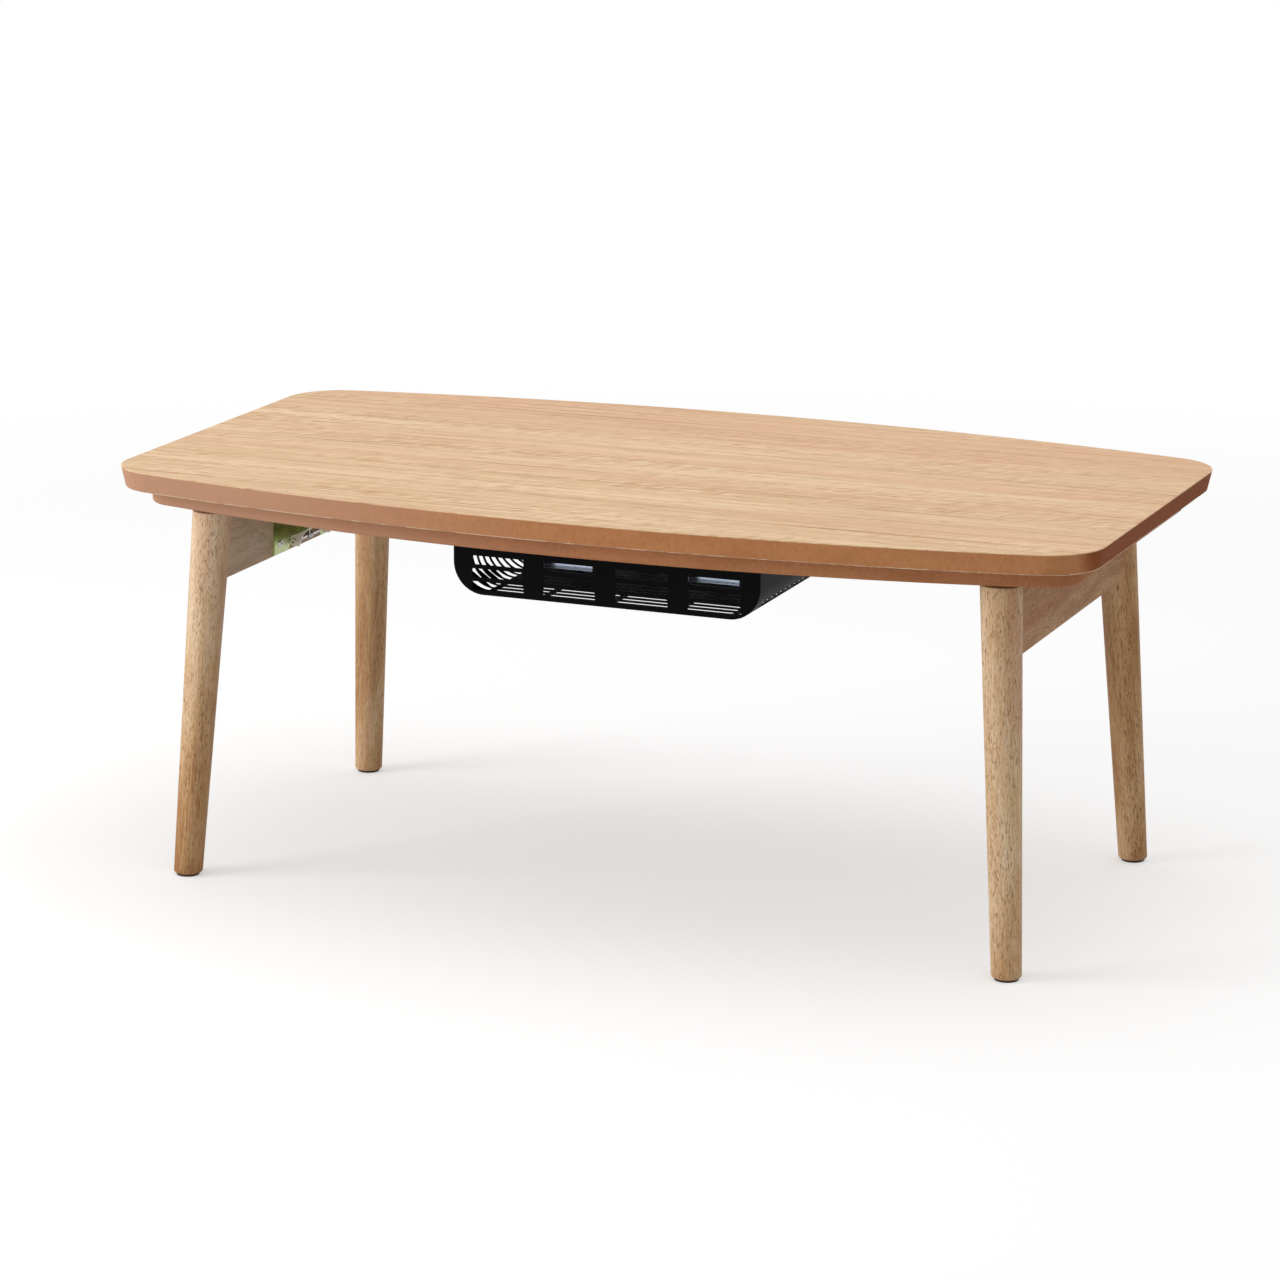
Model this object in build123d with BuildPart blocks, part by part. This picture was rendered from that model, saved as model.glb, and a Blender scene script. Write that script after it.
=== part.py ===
# Low heated table: a lift-off top, a lower board with an electric heater under it, and two
# folding leg frames, each with a hinge bracket and a spring latch.
# Millimetres, +Z up. The origin is on the floor at the middle of the table, +X runs along
# its length and -Y is the front.
import os
from math import atan, cos, degrees, hypot, pi, sin

from build123d import *

os.makedirs("parts", exist_ok=True)

# ---- driving dimensions ----

# heights above the floor
board_bottom = 330.0
board_thickness = 15.0
rest_pad_thickness = 2.0
top_thickness = 18.0
sheet_thickness = 0.8

# outlines: half length, half depth at the middle, half depth at the ends, corner radius
top_outline = (445.0, 250.0, 200.0, 52.0)
board_outline = (423.0, 226.5, 170.6, 30.0)
top_edge_inset = 4.0
board_edge_radius = 3.0
rest_pad_radius = 11.0
rest_pad_places = [(370, 150), (370, -150), (190, 195), (190, -195)]

# legs: their axis runs from the foot to the level of the lower board
foot_x, foot_y, foot_radius = 379.2, 185.6, 12.8
head_x, head_y, head_radius = 359.35, 162.94, 17.5
leg_top = 327.5
foot_pad_radius, foot_pad_thickness = 10.3, 2.0
leg_edge_radius = 2.5

# end rails and their dowels
rail_bottom, rail_top, rail_thickness = 264.5, 327.0, 20.0
dowel_radius, dowel_length, dowel_inner_y = 4.0, 32.0, 130.0
dowel_heights = (280.0, 310.0)

# folding hinge, measured from the table's middle and from the pivot
pivot_x, pivot_z, pivot_radius = 331.0, 310.0, 3.0
strike_offset, strike_radius = 9.5, 2.5
running_gap = 0.05
plate_thickness = 2.0
fixed_ear_inner, fixed_ear_outer = 59.4, 61.4
moving_ear_inner, moving_ear_outer = 57.0, 59.0
hinge_plate_inner_x, hinge_plate_outer_x, hinge_plate_half_width = 300.0, 345.0, 75.0
hinge_screw_places = [(306, 68), (306, -68), (338, 68), (338, -68), (304.5, 20), (304.5, -20)]
rail_plate_half_width, rail_plate_bottom, rail_plate_arch, rail_plate_top = 62.0, 266.5, 276.5, 322.0
rail_screw_places = [(52, 276), (-52, 276), (50, 302), (-50, 302), (18, 315), (-18, 315)]

# latch: a lever with two hooked arms, on a rod near the bottom of the rail plate
latch_rod_offset = (-16.0, -37.0)
latch_rod_radius = 1.75
latch_arm_inner, latch_arm_outer = 30.4, 32.0
latch_tab_inner, latch_tab_outer = 28.0, 29.6
spring_radius, spring_wire, spring_turns, spring_pitch = 2.55, 0.45, 5.5, 1.5
spring_rail_leg, spring_lever_leg = 7.0, 10.0

# heater: guard cage, housing tray and what they hold
guard_x, guard_y, guard_bottom, guard_corner, guard_wall = 141.0, 136.0, 268.0, 28.0, 0.8
guard_opening_x, guard_opening_y = 116.0, 113.0
window_size, window_pitch, window_mid_z = (48.0, 7.6), (66.4, 11.3), 287.1
slot_width, slot_pitch, slot_rows = 8.0, 11.0, 22
middle_slot_width, outer_slot_width, middle_slots_reach = 3.0, 5.4, 88.0
slot_columns = [(30.9, 55.8), (86.9, 45.2)]
left_slot_top, right_slot_top, slot_start, slot_cut, slot_reach = 303.0, 282.0, 2.0, 3.0, 40.0
flange_thickness, tray_x, tray_y, tray_height, tray_corner = 2.0, 122.0, 119.0, 13.0, 8.0
insulation_size, insulation_thickness = (220.0, 214.0), 1.5
reflector_wall, reflector_top, reflector_rim = 0.8, 336.0, (240.0, 234.0, 8.0)
dish_mouth, dish_crown = (112.0, 109.0), (96.0, 93.0)
tube_middle_x, tube_half_spacing, tube_z, tube_radius = 27.0, 67.0, 308.0, 5.0
tube_bend_y, tube_end_y = 35.0, -116.0
cap_radius, cap_length, cap_socket = 7.5, 18.0, 8.0
bracket_y, bracket_width, bracket_low, bracket_foot = -122.0, 46.0, 294.5, 10.0

# ---- worked out from them ----

board_top = board_bottom + board_thickness
top_bottom = board_top + rest_pad_thickness
top_height = top_bottom + top_thickness
top_edge_angle = degrees(atan(top_edge_inset / top_thickness))
splay = atan((foot_x - head_x) / board_bottom)
flange_bottom = board_bottom - flange_thickness
guard_flange_bottom = flange_bottom - guard_wall


def save(piece, label):
    piece.part.label = label
    export_step(piece.part, f"parts/{label}.step")


def bowed_outline(half_length, middle_depth, end_depth, corner):
    """Rectangle with long edges that bow outwards and rounded corners."""
    with BuildSketch() as outline:
        with BuildLine():
            rear = ThreePointArc((-half_length, end_depth), (0, middle_depth), (half_length, end_depth))
            Line(rear @ 1, (half_length, -end_depth))
            front = ThreePointArc((half_length, -end_depth), (0, -middle_depth), (-half_length, -end_depth))
            Line(front @ 1, rear @ 0)
        make_face()
        fillet(outline.vertices(), corner)
    return outline.sketch


def leg_at(height):
    """Distance along X and Y of a leg's axis, and its radius, at a height."""
    share = height / board_bottom
    return (
        foot_x + (head_x - foot_x) * share,
        foot_y + (head_y - foot_y) * share,
        foot_radius + (head_radius - foot_radius) * share,
    )


def frame_plane(side, inward):
    """Plane of one leg frame, moved towards the table's middle, with local y up the legs."""
    origin = (side * (head_x - inward * cos(splay)), 0, board_bottom - inward * sin(splay))
    return Plane(origin=origin, x_dir=(0, -side, 0), z_dir=(-side * cos(splay), 0, -sin(splay)))


def frame_height(height):
    """Local y on a leg frame's plane of a height above the floor."""
    return (height - board_bottom) / cos(splay)


def hinge_points(side, offsets):
    """Points of an upright section, from offsets inwards and upwards of the fold's pivot."""
    return [(side * (pivot_x - inward), pivot_z + up) for inward, up in offsets]


def upright_section(side, offsets, discs):
    """Flat shape in the XZ plane: a polygon joined with discs, all about the fold's pivot."""
    with BuildSketch(Plane.XZ) as section:
        with BuildLine():
            Polyline(*hinge_points(side, offsets), close=True)
        make_face()
        for offset_pair, radius in discs:
            with Locations(*hinge_points(side, [offset_pair])):
                Circle(radius)
    return section.sketch


def extrude_pair(section, inner, outer):
    """The same flat shape made twice, from inner to outer on both sides of the XZ plane."""
    extrude(section, amount=outer, both=True)
    extrude(section, amount=inner, both=True, mode=Mode.SUBTRACT)


def cross_rod(side, offset_pair, radius, half_length, mode=Mode.ADD):
    """Round rod along Y at an offset from the fold's pivot."""
    with BuildSketch(Plane.XZ) as section:
        with Locations(*hinge_points(side, [offset_pair])):
            Circle(radius)
    extrude(section.sketch, amount=half_length, both=True, mode=mode)


def riveted_rod(side, offset_pair, radius, half_length, head_radius, head_thickness, head_gap=0.0):
    """Rod along Y with a hollow riveted head at each end."""
    seat = half_length + head_gap
    with BuildPart() as rod:
        cross_rod(side, offset_pair, head_radius, seat + head_thickness)
        cross_rod(side, offset_pair, head_radius + 1, seat, mode=Mode.SUBTRACT)
        cross_rod(side, offset_pair, radius, seat + head_thickness)
        centre = hinge_points(side, [offset_pair])[0]
        for end in (-1, 1):
            face = Plane(origin=(centre[0], end * (seat + head_thickness), centre[1]), z_dir=(0, end, 0))
            drill([face], 0.75 * radius, 1.5 * radius)
    return rod


def drill(planes, radius, depth):
    """Round blind holes, each going in from its plane."""
    for face in planes:
        with BuildSketch(face) as mouth:
            Circle(radius)
        extrude(mouth.sketch, amount=-depth, mode=Mode.SUBTRACT)


def pan_screws(seats, shank_radius, shank_length, head_radius, head_height):
    """Cross-head screws, each with its head on its seat plane and its shank behind it."""
    with BuildPart() as screws:
        for seat in seats:
            with BuildSketch(seat):
                Circle(head_radius)
            extrude(amount=head_height, taper=24)
            with BuildSketch(seat):
                Circle(shank_radius)
            extrude(amount=-shank_length)
            with BuildSketch(seat.offset(head_height)):
                Rectangle(head_radius, 0.24 * head_radius)
                Rectangle(0.24 * head_radius, head_radius)
            extrude(amount=-0.45 * head_height, mode=Mode.SUBTRACT)
    return screws


def seats_facing_down(places, height):
    """Planes at a height, facing the floor."""
    return [Plane(origin=(x, y, height), z_dir=(0, 0, -1)) for x, y in places]


# ---- table top: stained core between a grained face sheet and a backing sheet ----

with BuildPart() as whole_top:
    with BuildSketch(Plane.XY.offset(top_height)):
        add(bowed_outline(*top_outline))
    extrude(amount=-top_thickness, taper=top_edge_angle)

face_sheet_bottom = Plane.XY.offset(top_height - sheet_thickness)
backing_sheet_top = Plane.XY.offset(top_bottom + sheet_thickness)

with BuildPart() as top_face_sheet:
    add(whole_top.part)
    split(bisect_by=face_sheet_bottom, keep=Keep.TOP)
save(top_face_sheet, "top_face_sheet")

with BuildPart() as top_core:
    add(whole_top.part)
    split(bisect_by=face_sheet_bottom, keep=Keep.BOTTOM)
    split(bisect_by=backing_sheet_top, keep=Keep.TOP)
save(top_core, "top_core")

with BuildPart() as top_backing_sheet:
    add(whole_top.part)
    split(bisect_by=backing_sheet_top, keep=Keep.BOTTOM)
save(top_backing_sheet, "top_backing_sheet")

# ---- lower board and the pads that the top rests on ----

heater_screw_places = [(sx * 129, sy * 70) for sx in (-1, 1) for sy in (-1, 1)]
heater_screw_seats = seats_facing_down(heater_screw_places, guard_flange_bottom)
heater_screw_radius, heater_screw_length = 1.9, 12.0
hinge_screw_radius, hinge_screw_length = 1.9, 12.0
hinge_screw_seats = {
    side: seats_facing_down([(side * x, y) for x, y in hinge_screw_places], board_bottom - plate_thickness)
    for side in (-1, 1)
}
opening_clearance = 2.0

with BuildPart() as frame_board:
    with BuildSketch(Plane.XY.offset(board_bottom)):
        add(bowed_outline(*board_outline))
    extrude(amount=board_thickness)
    fillet(frame_board.faces().sort_by(Axis.Z)[0].edges(), board_edge_radius)
    with BuildSketch(Plane.XY.offset(board_bottom)):
        RectangleRounded(2 * (tray_x + opening_clearance), 2 * (tray_y + opening_clearance), 10)
    extrude(amount=board_thickness, mode=Mode.SUBTRACT)
    drill(heater_screw_seats, heater_screw_radius, heater_screw_length)
    for seats in hinge_screw_seats.values():
        drill(seats, hinge_screw_radius, hinge_screw_length)
save(frame_board, "frame_board")

with BuildPart() as rest_pads:
    with BuildSketch(Plane.XY.offset(board_top)):
        with Locations(*[(side * x, y) for side in (-1, 1) for x, y in rest_pad_places]):
            Circle(rest_pad_radius)
    extrude(amount=rest_pad_thickness)
save(rest_pads, "rest_pads")

# ---- heater housing: a flanged tray in the board's opening, with an insulating pad on it ----

guard_screw_places = [(sx * 60, sy * 126) for sx in (-1, 1) for sy in (-1, 1)]
guard_screw_seats = seats_facing_down(guard_screw_places, guard_flange_bottom)
guard_screw_radius = 1.5
guard_screw_length = guard_wall + flange_thickness

with BuildPart() as heater_housing:
    with BuildSketch(Plane.XY.offset(flange_bottom)):
        RectangleRounded(2 * guard_x, 2 * guard_y, 4)
    extrude(amount=flange_thickness)
    with BuildSketch(Plane.XY.offset(board_bottom)):
        RectangleRounded(2 * tray_x, 2 * tray_y, tray_corner)
    extrude(amount=tray_height)
    with BuildSketch(Plane.XY.offset(flange_bottom)):
        RectangleRounded(2 * (tray_x - guard_wall), 2 * (tray_y - guard_wall), tray_corner - guard_wall)
    extrude(amount=flange_thickness + tray_height - guard_wall, mode=Mode.SUBTRACT)
    drill(heater_screw_seats, heater_screw_radius, heater_screw_length)
    drill(guard_screw_seats, guard_screw_radius, guard_screw_length)
save(heater_housing, "heater_housing")

with BuildPart() as insulation_pad:
    with BuildSketch(Plane.XY.offset(board_bottom + tray_height)):
        RectangleRounded(*insulation_size, tray_corner)
    extrude(amount=insulation_thickness)
save(insulation_pad, "insulation_pad")

# ---- heater guard: a slotted cage whose two ends are bent round into the bottom ----


def guard_profile(inset, top):
    """End-on section of the guard, with its lower corners rounded."""
    half_width = guard_x - inset
    low = guard_bottom + inset
    with BuildSketch(Plane.XZ) as profile:
        with BuildLine():
            Polyline((-half_width, low), (half_width, low), (half_width, top), (-half_width, top), close=True)
        make_face()
        fillet(profile.vertices().group_by(Axis.Y)[0], guard_corner - inset)
    return profile.sketch


def corner_slot(side, top):
    """Outline, in the current sketch, of a slot that runs round a lower corner and up to a height."""
    centre_x, centre_z = side * (guard_x - guard_corner), guard_bottom + guard_corner
    with Locations((centre_x, centre_z)):
        Circle(guard_corner + slot_cut)
        Circle(guard_corner - slot_cut, mode=Mode.SUBTRACT)
    with Locations((centre_x + side * (slot_start + slot_reach) / 2, centre_z - slot_reach / 2)):
        Rectangle(slot_reach - slot_start, slot_reach, mode=Mode.INTERSECT)
    with Locations((side * guard_x, centre_z + slot_reach / 4)):
        Rectangle(2 * slot_cut, slot_reach / 2)
    with Locations((side * guard_x, top - slot_reach)):
        Rectangle(2 * slot_reach, 2 * slot_reach, mode=Mode.INTERSECT)


slot_row_ys = [slot_pitch * (row - (slot_rows - 1) / 2) for row in range(slot_rows)]
slot_row_planes = [Plane.XZ.offset(-y) for y in slot_row_ys]
middle_row_ys = [y for y in slot_row_ys if abs(y) < middle_slots_reach]
outer_row_ys = [y for y in slot_row_ys if abs(y) > middle_slots_reach]
inlet_x, inlet_size, inlet_mid_z = -88.0, (34.0, 18.0), 316.5

with BuildPart() as heater_guard:
    extrude(guard_profile(0, flange_bottom), amount=guard_y, both=True)
    extrude(guard_profile(guard_wall, guard_flange_bottom), amount=guard_y - guard_wall, both=True,
            mode=Mode.SUBTRACT)
    with BuildSketch(Plane.XY.offset(guard_flange_bottom)):
        RectangleRounded(2 * guard_opening_x, 2 * guard_opening_y, 6)
    extrude(amount=guard_wall, mode=Mode.SUBTRACT)
    with BuildSketch(Plane.XZ):
        with Locations((0, window_mid_z)):
            with GridLocations(*window_pitch, 4, 3):
                RectangleRounded(*window_size, 1.4)
    extrude(amount=guard_y + 1, both=True, mode=Mode.SUBTRACT)
    with BuildSketch(Plane.XY.offset(guard_bottom - 1)):
        for x, length in slot_columns:
            with Locations(*[(side * x, y) for side in (-1, 1) for y in outer_row_ys]):
                RectangleRounded(length, outer_slot_width, 1.4)
            with Locations(*[(side * x, y) for side in (-1, 1) for y in middle_row_ys]):
                RectangleRounded(length, middle_slot_width, 1.4)
    extrude(amount=guard_wall + 2, mode=Mode.SUBTRACT)
    for side, slot_top in ((-1, left_slot_top), (1, right_slot_top)):
        with BuildSketch(*slot_row_planes):
            corner_slot(side, slot_top)
        extrude(amount=slot_width / 2, both=True, mode=Mode.SUBTRACT)
    with BuildSketch(Plane.XZ.offset(-guard_y)):
        with Locations((inlet_x, inlet_mid_z)):
            Rectangle(*inlet_size)
    extrude(amount=2 * guard_wall, both=True, mode=Mode.SUBTRACT)
    drill(heater_screw_seats, heater_screw_radius, heater_screw_length)
    drill(guard_screw_seats, guard_screw_radius, guard_screw_length)
save(heater_guard, "heater_guard")

heater_screws = pan_screws(heater_screw_seats, heater_screw_radius, heater_screw_length, 3.6, 2.0)
save(heater_screws, "heater_screws")
guard_screws = pan_screws(guard_screw_seats, guard_screw_radius, guard_screw_length, 2.8, 1.8)
save(guard_screws, "guard_screws")

# ---- reflector: a pressed sheet in the tray, its rim lying on the guard's flange ----


def reflector_body(inset):
    """Solid dish, wide at the rim and narrower at the top."""
    with BuildPart() as dish:
        with BuildSketch(Plane.XY.offset(flange_bottom + reflector_wall)):
            Rectangle(*[2 * (half - inset) for half in dish_mouth])
        with BuildSketch(Plane.XY.offset(reflector_top - inset)):
            Rectangle(*[2 * (half - inset) for half in dish_crown])
        loft(ruled=True)
    return dish.part


with BuildPart() as heater_reflector:
    with BuildSketch(Plane.XY.offset(flange_bottom)):
        RectangleRounded(*reflector_rim)
    extrude(amount=reflector_wall)
    add(reflector_body(0))
    add(reflector_body(reflector_wall), mode=Mode.SUBTRACT)
    with BuildSketch(Plane.XY.offset(flange_bottom)):
        Rectangle(*[2 * (half - reflector_wall) for half in dish_mouth])
    extrude(amount=reflector_wall, mode=Mode.SUBTRACT)
save(heater_reflector, "heater_reflector")

# ---- quartz tube bent in a U, its coil, end caps, brackets and clip ----

tube_left, tube_right = tube_middle_x - tube_half_spacing, tube_middle_x + tube_half_spacing


def bent_bar(outer, inner, end_y):
    """Round tube that follows the U of the heating tube, from one open end to the other."""
    with BuildPart() as bar:
        with BuildLine() as path:
            Line((tube_left, end_y, tube_z), (tube_left, tube_bend_y, tube_z))
            ThreePointArc((tube_left, tube_bend_y, tube_z),
                          (tube_middle_x, tube_bend_y + tube_half_spacing, tube_z),
                          (tube_right, tube_bend_y, tube_z))
            Line((tube_right, tube_bend_y, tube_z), (tube_right, end_y, tube_z))
        with BuildSketch(Plane(origin=(tube_left, end_y, tube_z), z_dir=(0, 1, 0))):
            Circle(outer)
            Circle(inner, mode=Mode.SUBTRACT)
        sweep(path=path.wires()[0])
    return bar


quartz_tube = bent_bar(tube_radius, tube_radius - 1.0, tube_end_y)
save(quartz_tube, "quartz_tube")
heating_coil = bent_bar(2.9, 2.1, tube_end_y + 2)
save(heating_coil, "heating_coil")

with BuildPart() as tube_end_caps:
    for x in (tube_left, tube_right):
        with BuildSketch(Plane(origin=(x, tube_end_y - (cap_length - cap_socket), tube_z), z_dir=(0, 1, 0))):
            Circle(cap_radius)
        extrude(amount=cap_length)
        drill([Plane(origin=(x, tube_end_y + cap_socket, tube_z), z_dir=(0, 1, 0))], tube_radius, cap_socket)
save(tube_end_caps, "tube_end_caps")

with BuildPart() as tube_brackets:
    for x in (tube_left, tube_right):
        with BuildSketch(Plane.XZ.offset(-bracket_y)):
            with Locations((x, (bracket_low + guard_flange_bottom) / 2)):
                Rectangle(bracket_width, guard_flange_bottom - bracket_low)
            with Locations((x, tube_z)):
                Circle(cap_radius, mode=Mode.SUBTRACT)
        extrude(amount=1.0)
        with BuildSketch(Plane.XY.offset(guard_flange_bottom)):
            with Locations((x, bracket_y + bracket_foot / 2 - 1)):
                Rectangle(bracket_width, bracket_foot)
        extrude(amount=-1.0)
save(tube_brackets, "tube_brackets")

clip_y = tube_bend_y + tube_half_spacing

with BuildPart() as tube_clip:
    with BuildSketch(Plane.YZ.offset(tube_middle_x)):
        with Locations((clip_y, tube_z)):
            Circle(tube_radius + 1.5)
        with Locations((clip_y, (tube_z + guard_flange_bottom) / 2)):
            Rectangle(1.2, guard_flange_bottom - tube_z)
        with Locations((clip_y + 12, guard_flange_bottom - 0.6)):
            Rectangle(25.2, 1.2)
        with Locations((clip_y, tube_z)):
            Circle(tube_radius + 0.2, mode=Mode.SUBTRACT)
    extrude(amount=4, both=True)
save(tube_clip, "tube_clip")

# ---- controls: a plate with the terminal block, thermostat and fuse, and the power inlet ----

control_plate_bottom = guard_flange_bottom - 1.0

with BuildPart() as control_plate:
    with BuildSketch(Plane.XY.offset(control_plate_bottom)):
        with Locations((inlet_x, 72)):
            RectangleRounded(50, 112, 4)
    extrude(amount=1.0)
save(control_plate, "control_plate")

with BuildPart() as terminal_block:
    with BuildSketch(Plane.XY.offset(control_plate_bottom)):
        with Locations((inlet_x, 92)):
            Rectangle(36, 20)
    extrude(amount=-12)
    for wall_x in (-12, 0, 12):
        with BuildSketch(Plane.XY.offset(control_plate_bottom - 12)):
            with Locations((inlet_x + wall_x - 6, 92)):
                Rectangle(8, 14)
        extrude(amount=4, mode=Mode.SUBTRACT)
save(terminal_block, "terminal_block")

with BuildPart() as thermostat:
    with BuildSketch(Plane.XY.offset(control_plate_bottom)):
        with Locations((inlet_x - 4, 52)):
            Circle(8)
    extrude(amount=-9)
    with BuildSketch(Plane.XY.offset(control_plate_bottom - 9)):
        with Locations((inlet_x - 4, 52)):
            Circle(6)
    extrude(amount=-1.5)
    for blade_x in (-1, 1):
        with BuildSketch(Plane.XY.offset(control_plate_bottom - 3)):
            with Locations((inlet_x - 4 + blade_x * 11, 52)):
                Rectangle(8, 5)
        extrude(amount=-0.8)
save(thermostat, "thermostat")

with BuildPart() as thermal_fuse:
    with BuildSketch(Plane(origin=(inlet_x - 12, 30, control_plate_bottom - 2.2), z_dir=(1, 0, 0))):
        Circle(2.2)
    extrude(amount=14)
    with BuildSketch(Plane(origin=(inlet_x - 18, 30, control_plate_bottom - 2.2), z_dir=(1, 0, 0))):
        Circle(0.5)
    extrude(amount=26)
save(thermal_fuse, "thermal_fuse")


lead_radius, lead_bend = 1.2, 18.0
lead_z = tube_z + cap_radius + lead_radius
lead_end_y = tube_end_y - 2


def lead(points):
    """Insulated heater lead that follows level straight runs joined by bends."""
    with BuildPart() as wire:
        with BuildLine() as path:
            FilletPolyline(*[(x, y, lead_z) for x, y in points], radius=lead_bend)
        with BuildSketch(Plane(origin=path.line @ 0, z_dir=path.line % 0)):
            Circle(lead_radius)
        sweep(path=path.wires()[0])
    return wire.part


with BuildPart() as heater_leads:
    add(lead([(inlet_x + 10, 82), (inlet_x + 10, 0), (tube_left, -60), (tube_left, lead_end_y)]))
    add(lead([(inlet_x + 18, 94), (tube_left + 4, 94), (tube_right, -50), (tube_right, lead_end_y)]))
save(heater_leads, "heater_leads")

inlet_depth, inlet_proud = 22.0, 10.0

with BuildPart() as inlet_shell:
    with BuildSketch(Plane.XZ.offset(-(guard_y - inlet_depth + inlet_proud))):
        with Locations((inlet_x, inlet_mid_z)):
            Rectangle(*inlet_size)
    extrude(amount=-inlet_depth)
    with BuildSketch(Plane.XZ.offset(-guard_y)):
        with Locations((inlet_x, inlet_mid_z)):
            RectangleRounded(inlet_size[0] + 6, inlet_size[1] + 1, 3)
    extrude(amount=-2)
    fillet(inlet_shell.faces().sort_by(Axis.Y)[-1].edges(), 1.5)
    with BuildSketch(Plane.XZ.offset(-(guard_y + inlet_proud))):
        with Locations((inlet_x, inlet_mid_z)):
            RectangleRounded(inlet_size[0] - 6, inlet_size[1] - 5, 3)
    extrude(amount=inlet_depth - 4, mode=Mode.SUBTRACT)
save(inlet_shell, "inlet_shell")

with BuildPart() as inlet_pins:
    for pin_x in (-6, 6):
        with BuildSketch(Plane.XZ.offset(-(guard_y - inlet_depth + inlet_proud + 4))):
            with Locations((inlet_x + pin_x, inlet_mid_z)):
                Circle(2)
        extrude(amount=-12)
save(inlet_pins, "inlet_pins")

# ---- folding leg frames, each with its hinge and latch ----

rail_screw_radius, rail_screw_length = 1.9, 14.0
spring_length = spring_pitch * spring_turns
lead_angle = atan(spring_pitch / (2 * pi * spring_radius))

# the latches' torsion spring, wound up the Z axis from the origin, with both ends towards -Y
with BuildPart() as standing_spring:
    with BuildLine() as wire_path:
        Line((spring_radius, -spring_rail_leg * cos(lead_angle), -spring_rail_leg * sin(lead_angle)),
             (spring_radius, 0, 0))
        Helix(spring_pitch, spring_length, spring_radius)
        Line((-spring_radius, 0, spring_length),
             (-spring_radius, -spring_lever_leg * cos(lead_angle),
              spring_length + spring_lever_leg * sin(lead_angle)))
    with BuildSketch(Plane(origin=wire_path.line @ 0, z_dir=wire_path.line % 0)):
        Circle(spring_wire)
    sweep(path=wire_path.wires()[0], is_frenet=True)

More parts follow.
